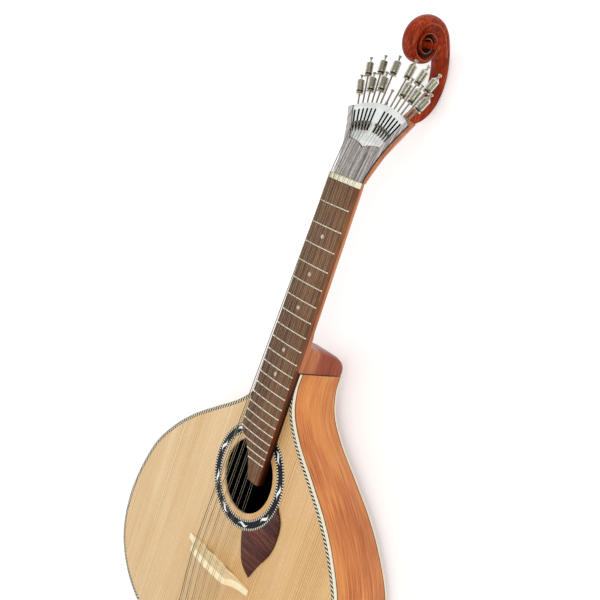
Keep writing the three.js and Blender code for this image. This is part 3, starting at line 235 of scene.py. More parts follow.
@dataclass
class Shape:
    """Points and faces of a piece on the bench, with the finish number of each face.

    The places tell where each point lies in its material.
    """

    points: list = field(default_factory=list)
    places: list = field(default_factory=list)
    faces: list = field(default_factory=list)
    zones: list = field(default_factory=list)

    def add(
        self, points: Sequence, faces: Sequence, zone: int = 0, places: Sequence | None = None,
    ) -> "Shape":
        """Adds points and the faces between them.

        Args:
            points: the new points.
            faces: tuples of point numbers, counted from the first new point.
            zone: the number of the finish on these faces.
            places: where each point lies in the material, where that isn't the point itself.

        Returns:
            The shape itself.
        """
        start = len(self.points)
        self.points += [tuple(p) for p in points]
        self.places += [tuple(p) for p in (points if places is None else places)]
        self.faces += [tuple(start + i for i in face) for face in faces]
        self.zones += [zone] * len(faces)
        return self

    def loft(self, rings: Sequence, zone: int = 0, places: Sequence | None = None) -> "Shape":
        """Adds a closed skin through rings that have the same number of points.

        Args:
            rings: the rings, each a row of points.
            zone: the number of the finish.
            places: the same rows with the place of each point in the material.

        Returns:
            The shape itself.
        """
        rings = np.array(rings, float)
        count, size = rings.shape[:2]
        faces = []
        for low in range(0, (count - 1) * size, size):
            pairs = [(low + i, low + (i + 1) % size) for i in range(size)]
            faces += [(i, j, j + size, i + size) for i, j in pairs]
        faces.append(tuple(range(size - 1, -1, -1)))
        faces.append(tuple(range((count - 1) * size, count * size)))
        flat = None if places is None else np.array(places, float).reshape(-1, 3)
        return self.add(rings.reshape(-1, 3), faces, zone, flat)

    def slab(
        self, outline: np.ndarray, top: float | HeightAt, bottom: float | HeightAt, holes: Sequence = (),
        zone: int = 0, side_zone: int | None = None, low_zone: int | None = None,
    ) -> "Shape":
        """Adds a plate with upright sides.

        Args:
            outline: its plan.
            top: height of its upper face, or a function of the place.
            bottom: height of its lower face, or a function of the place.
            holes: plans of the openings.
            zone: the finish number of its faces.
            side_zone: the finish number of the sides, where it differs.
            low_zone: the finish number of the lower face, where it differs.

        Returns:
            The shape itself.
        """
        rings = [np.array(r, float)[:, :2] for r in (outline, *holes)]
        flat = np.concatenate(rings)
        count = len(flat)
        rises = [rise if callable(rise) else (lambda x, y, z=rise: z) for rise in (top, bottom)]
        filled = tessellate_polygon([[Vector((x, y, 0)) for x, y in ring] for ring in rings])
        sides = []
        start = 0
        for ring in rings:
            pairs = [(start + i, start + (i + 1) % len(ring)) for i in range(len(ring))]
            sides += [(i, j, count + j, count + i) for i, j in pairs]
            start += len(ring)
        lower = [tuple(count + i for i in reversed(f)) for f in filled]
        self.add([(x, y, rise(x, y)) for rise in rises for x, y in flat], [*filled, *lower, *sides], zone)
        if low_zone is not None:
            self.zones[-len(lower) - len(sides) : -len(sides)] = [low_zone] * len(lower)
        if side_zone is not None:
            self.zones[-len(sides) :] = [side_zone] * len(sides)
        return self

    def turned(
        self, profile: Plan, sides: int, zone: int = 0, flutes: Callable[[float, int], float] | None = None
    ) -> "Shape":
        """Adds a piece turned round the line x = z = 0.

        Args:
            profile: radius and place along the line, from one end to the other.
            sides: how many points each ring has.
            zone: the finish number.
            flutes: gives the radius from the profile's radius and the number of the ring's point.

        Returns:
            The shape itself.
        """
        turns = [2 * math.pi * k / sides for k in range(sides)]
        rings = []
        for radius, along in profile:
            reach = [flutes(radius, k) if flutes else radius for k in range(sides)]
            rings.append([(r * math.cos(t), along, r * math.sin(t)) for r, t in zip(reach, turns)])
        return self.loft(rings, zone)

    def bar(self, route: Sequence, radius: float, sides: int) -> "Shape":
        """Adds a round bar along a route, with its length as the second number of its places.

        Args:
            route: the points of its middle line.
            radius: its radius.
            sides: how many points each ring has.

        Returns:
            The shape itself.
        """
        route = np.array(route, float)
        tangents = unit_rows(np.gradient(route, axis=0))
        side = np.cross(tangents[0], (0.0, 0.0, 1.0))
        turns = [2 * math.pi * k / sides for k in range(sides)]
        rings, places = [], []
        for point, tangent, along in zip(route, tangents, run_along(route)):
            side = side - tangent * np.dot(side, tangent)
            side /= np.linalg.norm(side)
            up = np.cross(side, tangent)
            rings.append([point + radius * (math.cos(t) * side + math.sin(t) * up) for t in turns])
            places.append([(radius * t, along, 0.0) for t in turns])
        return self.loft(rings, 0, places)

    def moved(self, matrix: Matrix) -> "Shape":
        """The shape with its points moved, and its places in the material kept."""
        points = [tuple(matrix @ Vector(p)) for p in self.points]
        return Shape(points, list(self.places), list(self.faces), list(self.zones))

    def joined(self, other: "Shape") -> "Shape":
        """Adds another shape.

        Args:
            other: the other shape.

        Returns:
            The shape itself.
        """
        start = len(self.points)
        self.points += other.points
        self.places += other.places
        self.faces += [tuple(start + i for i in face) for face in other.faces]
        self.zones += other.zones
        return self


# Where things lie


@dataclass(frozen=True)
class InstrumentPlace:
    """Where the instrument's own frame lies, read from the lines of the tuning screws."""

    head_tilt: float = 9.8
    head_drop: float = 4.2
    screw_depth: float = 3.8

    def lean(self) -> float:
        """How far the instrument leans back, in radians."""
        axis = self._screw_line()[1]
        return math.atan2(abs(axis.z), abs(axis.y)) - math.radians(self.head_tilt)

    def head(self) -> Matrix:
        """The plane of the head in the instrument's frame, in millimetres."""
        turn = Matrix.Rotation(-math.radians(self.head_tilt), 4, "X")
        return Matrix.Translation((0, 0, -self.head_drop)) @ turn

    def matrix(self) -> Matrix:
        """The instrument's frame among the solids.

        Returns:
            The move from its millimetres to the solids' metres.
        """
        start, axis = self._screw_line()
        meeting = start - axis * (start.x / axis.x)
        turn = Matrix.Rotation(-self.lean(), 4, "X") @ Matrix.Scale(MM, 4)
        below = turn @ self.head() @ Vector((0, 0, -self.screw_depth))
        return Matrix.Translation(meeting - below) @ turn

    def _screw_line(self) -> tuple[Vector, Vector]:
        """A point and the direction of the first tuning screw."""
        joint = next(j for j in frame["joints"] if j["name"] == "screw_turn_1")
        return Vector(joint["pos_m"]), Vector(joint["axis"])


PLACE = InstrumentPlace()
BENCH = PLACE.matrix()
HEAD = PLACE.head()
SCREWS = Matrix.Translation((0, 0, -PLACE.screw_depth))


# Node work


def linear(code: str) -> tuple[float, float, float, float]:
    """A colour written as six hexadecimal digits, as a node takes it."""
    parts = [int(code[i : i + 2], 16) / 255 for i in (0, 2, 4)]
    return (*[p / 12.92 if p <= 0.04045 else ((p + 0.055) / 1.055) ** 2.4 for p in parts], 1.0)


@dataclass
class NodeSheet:
    """Adds nodes to a material or a node group and joins them."""

    tree: bpy.types.NodeTree

    def node(self, kind: str, feeds: dict | None = None, **settings: object) -> bpy.types.Node:
        """Adds one node.

        Args:
            kind: the node's type name.
            feeds: values or sockets for its inputs, by name or number.
            settings: its properties.

        Returns:
            The node.
        """
        made = self.tree.nodes.new(kind)
        for name, value in settings.items():
            setattr(made, name, value)
        for key, value in (feeds or {}).items():
            if isinstance(value, Socket):
                self.tree.links.new(value, made.inputs[key])
            else:
                made.inputs[key].default_value = value
        return made

    def math(self, operation: str, a: object, b: object = 0.0, clamp: bool = False) -> Socket:
        """One step of arithmetic on two numbers."""
        return self.node("ShaderNodeMath", {0: a, 1: b}, operation=operation, use_clamp=clamp).outputs[0]

    def times(self, a: object, b: object) -> Socket:
        """The product of two numbers."""
        return self.math("MULTIPLY", a, b)

    def axes(self, vector: Socket) -> Sockets:
        """The three numbers of a place."""
        return self.node("ShaderNodeSeparateXYZ", {0: vector}).outputs

    def span(self, value: object, low: float, high: float) -> Socket:
        """A number that runs from 0 to 1 smoothly while the value runs from low to high."""
        feeds = {0: value, 1: low, 2: high, 3: 0.0, 4: 1.0}
        return self.node("ShaderNodeMapRange", feeds, interpolation_type="SMOOTHSTEP").outputs[0]

    def between(self, value: object, low: float, high: float) -> Socket:
        """A number between low and high as the value runs from 0 to 1."""
        return self.node("ShaderNodeMapRange", {0: value, 1: 0.0, 2: 1.0, 3: low, 4: high}).outputs[0]

    def noise(self, vector: Socket, scale: object, detail: float = 3.0, warp: float = 0.0) -> Socket:
        """Soft random values from 0 to 1, with some finer layers, their lumps bent by the warp."""
        feeds = {"Vector": vector, "Scale": scale, "Detail": detail, "Distortion": warp}
        return self.node("ShaderNodeTexNoise", feeds).outputs[0]

    def stretch(self, vector: Socket, by: tuple[float, float, float]) -> Socket:
        """The place with each of its three numbers multiplied."""
        return self.node("ShaderNodeVectorMath", {0: vector, 1: by}, operation="MULTIPLY").outputs[0]

    def tint(self, share: object, a: object, b: object, mode: str = "MIX") -> Socket:
        """A colour between two others, each a socket or a colour code."""
        feeds = {0: share, **{6 + k: linear(c) if isinstance(c, str) else c for k, c in enumerate((a, b))}}
        return self.node("ShaderNodeMix", feeds, data_type="RGBA", blend_type=mode).outputs[2]

    def ramp(self, share: object, stops: Sequence[tuple[float, str]]) -> Socket:
        """A colour picked along a row of stops.

        Args:
            share: where on the row, from 0 to 1.
            stops: places and colours.

        Returns:
            The colour.
        """
        made = self.node("ShaderNodeValToRGB", {0: share})
        elements = made.color_ramp.elements
        while len(elements) < len(stops):
            elements.new(0.5)
        for element, (place, code) in zip(elements, stops):
            element.position = place
            element.color = linear(code)
        return made.outputs[0]

    def bump(self, height: object, millimetres: float, strength: float = 1.0) -> Socket:
        """A normal that follows a height of 0 to 1, scaled to millimetres."""
        feeds = {"Height": height, "Distance": millimetres * MM, "Strength": strength}
        return self.node("ShaderNodeBump", feeds).outputs[0]

    def white_rays(self) -> Socket:
        """1 for the rays that see the backdrop: those of the camera, of mirrors and of glass."""
        rays = self.node("ShaderNodeLightPath").outputs
        seen = self.math("MAXIMUM", rays["Is Camera Ray"], rays["Is Glossy Ray"])
        return self.math("MAXIMUM", seen, rays["Is Transmission Ray"])


class Effects:
    """The node groups that several finishes share, each drawn on first use."""

    @staticmethod
    def shared(name: str, takes: dict[str, float], draw: Callable) -> bpy.types.NodeTree:
        """A node group that takes a place and some numbers.

        Args:
            name: the group's name.
            takes: the default of each number.
            draw: draws it from its sheet and its inputs, and returns its outputs by name.

        Returns:
            The group.
        """
        known = bpy.data.node_groups.get(name)
        if known is not None:
            return known
        tree = bpy.data.node_groups.new(name, "ShaderNodeTree")
        tree.interface.new_socket(name="Place", in_out="INPUT", socket_type="NodeSocketVector")
        for label, value in takes.items():
            socket = tree.interface.new_socket(name=label, in_out="INPUT", socket_type="NodeSocketFloat")
            socket.default_value = value
        sheet = NodeSheet(tree)
        given = draw(sheet, sheet.node("NodeGroupInput").outputs)
        for label in given:
            tree.interface.new_socket(name=label, in_out="OUTPUT", socket_type="NodeSocketFloat")
        sheet.node("NodeGroupOutput", given)
        return tree

    @classmethod
    def wood_figure(cls) -> bpy.types.NodeTree:
        """Grain that runs along y: growth rings, streaks, pores and cloudy shade."""
        return cls.shared("wood figure", {"Ring Width": 2.0, "Length": 30.0, "Wander": 6.0}, cls.draw_wood)

    @classmethod
    def handling(cls) -> bpy.types.NodeTree:
        """Faint smears that hands leave on a polished face."""
        return cls.shared("handling", {"Lump": 20.0}, cls.draw_smears)

    @staticmethod
    def draw_wood(sheet: NodeSheet, takes: Sockets) -> dict[str, Socket]:
        """Draws the grain.

        Args:
            sheet: the group's nodes.
            takes: the group's inputs.

        Returns:
            Its outputs.
        """
        place = takes["Place"]
        apart = sheet.axes(place)
        drift = sheet.noise(sheet.stretch(place, (0.012, 0.0022, 0.012)), 1.0, 2.0)
        across = sheet.math("ADD", apart[0], sheet.times(sheet.math("SUBTRACT", drift, 0.5), takes["Wander"]))
        along = sheet.math("DIVIDE", apart[1], takes["Length"])
        fibre = sheet.node("ShaderNodeCombineXYZ", {0: across, 1: along, 2: apart[2]}).outputs[0]
        density = sheet.math("DIVIDE", 1.0, takes["Ring Width"])
        uneven = sheet.times(sheet.noise(fibre, 0.11, 2.0), 3.0)
        count = sheet.times(sheet.math("ADD", across, sheet.times(apart[2], 0.35)), density)
        ring = sheet.math("FRACT", sheet.math("ADD", count, uneven))
        squeezed = sheet.times(along, 4.0)
        fine = sheet.node("ShaderNodeCombineXYZ", {0: across, 1: squeezed, 2: apart[2]}).outputs[0]
        cloud = sheet.noise(sheet.stretch(place, (0.02, 0.009, 0.02)), 1.0, 3.0, 0.4)
        return {
            "Rings": sheet.math("POWER", ring, 2.6),
            "Streaks": sheet.span(sheet.noise(fibre, density, 4.0), 0.3, 0.72),
            "Fibres": sheet.span(sheet.noise(fibre, sheet.times(density, 4.0), 3.0), 0.3, 0.7),
            "Pores": sheet.span(sheet.noise(fine, 1.9, 2.0), 0.6, 0.68),
            "Cloud": sheet.span(cloud, 0.3, 0.7),
        }

    @staticmethod
    def draw_smears(sheet: NodeSheet, takes: Sockets) -> dict[str, Socket]:
        """Draws the smears, as large as the lump that the group takes."""
        smears = sheet.noise(takes["Place"], sheet.math("DIVIDE", 1.0, takes["Lump"]), 4.0, 0.8)
        return {"Smears": sheet.span(smears, 0.35, 0.7)}


# Finishes


@dataclass(frozen=True)
class Finish:
    """A surface finish, made into a material once."""

    name: str
    carried: bool = False

    def material(self) -> bpy.types.Material:
        """The finish as a material.

        Returns:
            The material, made on first use.
        """
        known = bpy.data.materials.get(self.name)
        if known is not None:
            return known
        made = bpy.data.materials.new(self.name)
        made.use_nodes = True
        made.node_tree.nodes.clear()
        sheet = NodeSheet(made.node_tree)
        shader = sheet.node("ShaderNodeBsdfPrincipled", self.dress(sheet))
        sheet.node("ShaderNodeOutputMaterial", {0: shader.outputs[0]})
        return made

    def dress(self, sheet: NodeSheet) -> dict[str, object]:
        """What the shader's inputs get; each finish has its own way."""
        raise NotImplementedError

    def place(self, sheet: NodeSheet) -> Socket:
        """Where a point lies in the material, in millimetres.

        Args:
            sheet: the material's nodes.

        Returns:
            The place: the carried-over solids have it in metres, the pieces bring it with them.
        """
        if self.carried:
            found = sheet.node("ShaderNodeTexCoord").outputs["Object"]
            return sheet.stretch(found, (1 / MM, 1 / MM, 1 / MM))
        return sheet.node("ShaderNodeAttribute", attribute_name="place").outputs["Vector"]

    def smears(self, sheet: NodeSheet, place: Socket, lump: float) -> Socket:
        """The smears of handling, in lumps of some millimetres."""
        feeds = {"Place": place, "Lump": lump}
        return sheet.node("ShaderNodeGroup", feeds, node_tree=Effects.handling()).outputs["Smears"]

    def grain(self, sheet: NodeSheet, place: Socket, ring: float, length: float, wander: float) -> Sockets:
        """The wood's grain, by its ring width, the length of its streaks and how far they wander."""
        feeds = {"Place": place, "Ring Width": ring, "Length": length, "Wander": wander}
        return sheet.node("ShaderNodeGroup", feeds, node_tree=Effects.wood_figure()).outputs


@dataclass(frozen=True)
class WoodFinish(Finish):
    """Varnished wood with streaks along its grain."""

    dark: str = "7a3d1c"
    middle: str = "b4663a"
    light: str = "d08a56"
    ring_width: float = 5.0
    length: float = 30.0
    wander: float = 14.0
    ring_share: float = 0.2
    pore_share: float = 0.35
    fibre_share: float = 0.5
    cloud_share: float = 0.3
    roughness: float = 0.42
    gloss: float = 0.35
    coat: float = 0.12
    coat_roughness: float = 0.18
    relief: float = 0.03
    lump: float = 26.0
    # Painted shade: a colour multiplied into the wood low on the heel, over the heights of shade_span and
    # only near the body, by shade_until.
    shade: str = ""
    shade_span: Pair = (-24.0, -33.0)
    shade_until: Pair = (-120.0, -140.0)

    def dress(self, sheet: NodeSheet) -> dict[str, object]:
        """Mixes three tones by the grain, sinks the pores and paints shade on the underside of the heel.

        Args:
            sheet: the material's nodes.

        Returns:
            What the shader's inputs get.
        """
        place = self.place(sheet)
        grain = self.grain(sheet, place, self.ring_width, self.length, self.wander)
        cloudy = sheet.times(sheet.math("SUBTRACT", grain["Cloud"], 0.5), self.cloud_share)
        fine = sheet.times(grain["Fibres"], self.fibre_share)
        coarse = sheet.times(grain["Streaks"], 1 - self.fibre_share)
        tone = sheet.math("ADD", sheet.math("ADD", coarse, fine), cloudy, clamp=True)
        colour = sheet.ramp(tone, [(0.0, self.dark), (0.5, self.middle), (1.0, self.light)])
        colour = sheet.tint(sheet.times(grain["Rings"], self.ring_share), colour, self.dark)
        colour = sheet.tint(sheet.times(grain["Pores"], self.pore_share), colour, self.dark)
        # Painted shade on the heel's underside, where it turns away from the light.
        if self.shade:
            apart = sheet.axes(place)
            low = sheet.span(apart[2], *self.shade_span)
            under = sheet.times(low, sheet.span(apart[1], *self.shade_until))
            colour = sheet.tint(under, colour, self.shade, "MULTIPLY")
        height = sheet.math("SUBTRACT", sheet.times(grain["Streaks"], 0.4), grain["Pores"])
        smears = self.smears(sheet, place, self.lump)
        return {
            "Base Color": colour,
            "Roughness": sheet.between(smears, self.roughness - 0.04, self.roughness + 0.08),
            "Specular IOR Level": self.gloss,
            "Coat Weight": self.coat,
            "Coat Roughness": self.coat_roughness,
            "Normal": sheet.bump(height, self.relief),
        }


@dataclass(frozen=True)
class SpruceFinish(Finish):
    """Pale spruce with fine straight growth rings along the strings."""

    light: str = "ebcd9d"
    middle: str = "deb87f"
    ring: str = "ad7d45"
    silk: str = "fff0d2"
    silk_share: float = 0.16
    # Painted shade: a tint multiplied in toward the treble side, as if the light came from the bass side.
    painted_treble_shade: str = "f3e2c4"
    painted_treble_shade_share: float = 0.75
    painted_treble_shade_span: Pair = (-90.0, 60.0)
    roughness: float = 0.4

    def dress(self, sheet: NodeSheet) -> dict[str, object]:
        """Draws the rings, the wide faint bands and the short silk across the grain, and paints shade toward
        the treble side.

        Args:
            sheet: the material's nodes.

        Returns:
            What the shader's inputs get.
        """
        place = self.place(sheet)
        grain = self.grain(sheet, place, 2.6, 90.0, 10.0)
        wide = self.grain(sheet, place, 16.0, 60.0, 10.0)
        bands = sheet.times(sheet.math("ADD", grain["Cloud"], wide["Streaks"]), 0.5)
        colour = sheet.tint(bands, self.middle, self.light)
        strength = sheet.between(wide["Streaks"], 1.0, 0.5)
        colour = sheet.tint(sheet.times(grain["Rings"], strength), colour, self.ring)
        # Painted shade, growing toward the treble side.
        painted_treble_shade = sheet.times(sheet.span(sheet.axes(place)[0], *self.painted_treble_shade_span), self.painted_treble_shade_share)
        colour = sheet.tint(painted_treble_shade, colour, self.painted_treble_shade, "MULTIPLY")
        silk = sheet.span(sheet.noise(sheet.stretch(place, (0.16, 0.9, 0.3)), 1.0, 2.0, 0.5), 0.56, 0.72)
        smears = self.smears(sheet, place, 50.0)
        return {
            "Base Color": sheet.tint(sheet.times(silk, self.silk_share), colour, self.silk),
            "Roughness": sheet.between(smears, self.roughness - 0.05, self.roughness + 0.09),
            "Specular IOR Level": 0.35,
            "Coat Weight": 0.12,
            "Coat Roughness": 0.22,
            "Normal": sheet.bump(grain["Rings"], 0.02, 0.7),
        }


@dataclass(frozen=True)
class MetalFinish(Finish):
    """Nickelled metal with a slight yellowish cast, dull smears and a painted dark reflection where it faces
    the eye.
    """

    tone: str = "d9d5c2"
    dull: str = "7d765f"
    painted_facing_reflection: str = "55513f"
    painted_reflection_share: float = 0.85
    dull_share: float = 0.45
    roughness: float = 0.27

    def dress(self, sheet: NodeSheet) -> dict[str, object]:
        """Mixes the bright and the dull tone, and paints a dark reflection where the metal faces the eye, as
        in a white tent.

        Args:
            sheet: the material's nodes.

        Returns:
            What the shader's inputs get.
        """
        place = self.place(sheet)
        smears = self.smears(sheet, place, 5.0)
        colour = sheet.tint(sheet.times(smears, self.dull_share), self.tone, self.dull)
        # Painted reflection: darker where the metal faces the camera.
        edge = sheet.node("ShaderNodeLayerWeight", {"Blend": 0.5}).outputs["Facing"]
        toward = sheet.times(sheet.span(edge, 0.62, 0.12), self.painted_reflection_share)
        return {
            "Base Color": sheet.tint(toward, colour, self.painted_facing_reflection),
            "Metallic": 1.0,
            "Roughness": sheet.between(smears, self.roughness - 0.05, self.roughness + 0.1),
            "Normal": sheet.bump(sheet.noise(place, 2.4, 3.0), 0.006),
        }


@dataclass(frozen=True)
class PlateFinish(Finish):
    """The fan plate: pale silvered metal brushed across, with a soft haze."""

    tone: str = "eceeeb"
    haze: str = "c6cbc9"

    def dress(self, sheet: NodeSheet) -> dict[str, object]:
        """Brushes the plate and clouds it a little.

        Args:
            sheet: the material's nodes.

        Returns:
            What the shader's inputs get.
        """
        place = self.place(sheet)
        brushed = sheet.noise(sheet.stretch(place, (0.25, 6.0, 1.0)), 1.0, 3.0)
        share = sheet.times(sheet.math("ADD", brushed, self.smears(sheet, place, 14.0)), 0.5)
        return {
            "Base Color": sheet.tint(share, self.tone, self.haze),
            "Metallic": 0.55,
            "Roughness": sheet.between(brushed, 0.3, 0.44),
            "Normal": sheet.bump(brushed, 0.006, 0.6),
        }


@dataclass(frozen=True)
class BoneFinish(Finish):
    """Bone or cream celluloid: pale, faintly mottled, softly glossy."""

    light: str = "f0ead0"
    dark: str = "dccfa4"
    mottle: float = 0.5
    roughness: float = 0.36
    fibre: tuple[float, float, float] = (0.5, 0.5, 0.5)

    def dress(self, sheet: NodeSheet) -> dict[str, object]:
        """Mottles the surface and draws faint fibres.

        Args:
            sheet: the material's nodes.

        Returns:
            What the shader's inputs get.
        """
        place = self.place(sheet)
        mottle = sheet.span(sheet.noise(sheet.stretch(place, self.fibre), 1.0, 4.0, 0.4), 0.35, 0.72)
        smears = self.smears(sheet, place, 9.0)
        return {
            "Base Color": sheet.tint(sheet.times(mottle, self.mottle), self.light, self.dark),
            "Roughness": sheet.between(smears, self.roughness - 0.06, self.roughness + 0.1),
            "Subsurface Weight": 0.08,
            "Subsurface Radius": (0.004, 0.003, 0.002),
            "Subsurface Scale": 0.5,
            "Coat Weight": 0.15,
            "Coat Roughness": 0.2,
            "Normal": sheet.bump(mottle, 0.01, 0.6),
        }


@dataclass(frozen=True)
class LacquerFinish(Finish):
    """Dark filler or dyed wood under lacquer; also painted shade for the slots, the tray and the well of the
    tuner.
    """

    tone: str = "0c1118"
    flake: str = "1b2430"
    roughness: float = 0.3
    gloss: float = 0.25
    coat: float = 0.1

    def dress(self, sheet: NodeSheet) -> dict[str, object]:
        """Speckles the dark ground.

        Args:
            sheet: the material's nodes.

        Returns:
            What the shader's inputs get.
        """
        speckle = sheet.span(sheet.noise(self.place(sheet), 1.3, 3.0), 0.5, 0.75)
        return {
            "Base Color": sheet.tint(speckle, self.tone, self.flake),
            "Roughness": sheet.between(speckle, self.roughness, self.roughness + 0.12),
            "Specular IOR Level": self.gloss,
            "Coat Weight": self.coat,
            "Coat Roughness": 0.15,
            "Normal": sheet.bump(speckle, 0.006, 0.5),
        }


class Weave(Enum):
    """How the two tones of an inlaid strip are laid."""

    CHEVRON = "chevron"
    CHECK = "check"


@dataclass(frozen=True)
class StripFinish(Finish):
    """An inlaid strip of dark and pale wood, with a dark line on both sides."""

    weave: Weave = Weave.CHEVRON
    pitch: float = 2.6
    half_width: float = 1.1
    line: float = 0.3
    blur: float = 0.03
    pale: str = "f3ecd9"
    worn: str = "cdb98c"
    dark: str = "080706"

    def dress(self, sheet: NodeSheet) -> dict[str, object]:
        """Lays the pattern from the place along and across the strip.

        Args:
            sheet: the material's nodes.

        Returns:
            What the shader's inputs get.
        """
        place = self.place(sheet)
        across, along = sheet.axes(place)[:2]
        turns = sheet.math("DIVIDE", along, self.pitch)
        if self.weave is Weave.CHEVRON:
            turns = sheet.math("ADD", turns, sheet.math("DIVIDE", across, 2.2 * self.half_width))
        phase = sheet.math("SUBTRACT", sheet.math("FRACT", turns), 0.5)
        tooth = sheet.span(sheet.math("ABSOLUTE", phase), 0.19, 0.23)
        inside = self.half_width - self.line
        edge = sheet.span(sheet.math("ABSOLUTE", across), inside - self.blur, inside + self.blur)
        fibre = sheet.noise(sheet.stretch(place, (3.0, 0.8, 1.0)), 1.0, 2.0)
        colour = sheet.tint(tooth, sheet.tint(sheet.times(fibre, 0.4), self.pale, self.worn), self.dark)
        return {
            "Base Color": sheet.tint(edge, colour, self.dark),
            "Roughness": sheet.between(fibre, 0.32, 0.44),
            "Specular IOR Level": 0.12,
            "Coat Weight": 0.04,
            "Coat Roughness": 0.2,
            "Normal": sheet.bump(fibre, 0.008, 0.5),
        }


@dataclass(frozen=True)
class PearlFinish(Finish):
    """Mother of pearl: white with soft coloured waves."""

    waves: tuple = ((0.3, "f4f3ee"), (0.45, "dfe9ea"), (0.55, "f7f0ee"), (0.68, "d7e4de"), (0.8, "ffffff"))

    def dress(self, sheet: NodeSheet) -> dict[str, object]:
        """Runs a row of pale tones through bent noise.

        Args:
            sheet: the material's nodes.

        Returns:
            What the shader's inputs get.
        """
        bent = sheet.noise(self.place(sheet), 0.35, 3.0, 2.5)
        return {
            "Base Color": sheet.ramp(bent, self.waves),
            "Roughness": sheet.between(bent, 0.16, 0.34),
            "Coat Weight": 0.4,
            "Coat Roughness": 0.12,
            "Normal": sheet.bump(bent, 0.008, 0.5),
        }


@dataclass(frozen=True)
class StringFinish(Finish):
    """Bright string wire, plain or wound."""

    tone: str = "979081"
    dull: str = "6f6858"
    pitch: float = 0.0

    def dress(self, sheet: NodeSheet) -> dict[str, object]:
        """Cuts the winding into the wire where there is one, with painted shade in its troughs.

        Args:
            sheet: the material's nodes.

        Returns:
            What the shader's inputs get.
        """
        place = self.place(sheet)
        worn = sheet.noise(sheet.stretch(place, (1.0, 0.08, 1.0)), 1.0, 3.0)
        colour = sheet.tint(worn, self.tone, self.dull)
        height = worn
        if self.pitch:
            turn = sheet.times(sheet.axes(place)[1], 2 * math.pi / self.pitch)
            height = sheet.between(sheet.math("SINE", turn), 0.0, 1.0)
            # Painted shade in the winding's troughs.
            colour = sheet.tint(sheet.between(height, 0.75, 1.0), self.dull, colour)
        return {
            "Base Color": colour,
            "Metallic": 1.0,
            "Roughness": sheet.between(worn, 0.2, 0.36),
            "Normal": sheet.bump(height, 0.02 if self.pitch else 0.004),
        }


@dataclass(frozen=True)
class FloorFinish(Finish):
    """Pale even floor that stays white round the shadow."""

    tone: str = "f4f4f4"
    lift: float = 0.3

    def dress(self, sheet: NodeSheet) -> dict[str, object]:
        """Adds an even white for the camera, mirrors and glass.

        Args:
            sheet: the material's nodes.

        Returns:
            What the shader's inputs get.
        """
        return {
            "Base Color": linear(self.tone),
            "Roughness": 0.9,
            "Emission Color": (1, 1, 1, 1),
            "Emission Strength": sheet.times(sheet.white_rays(), self.lift),
        }


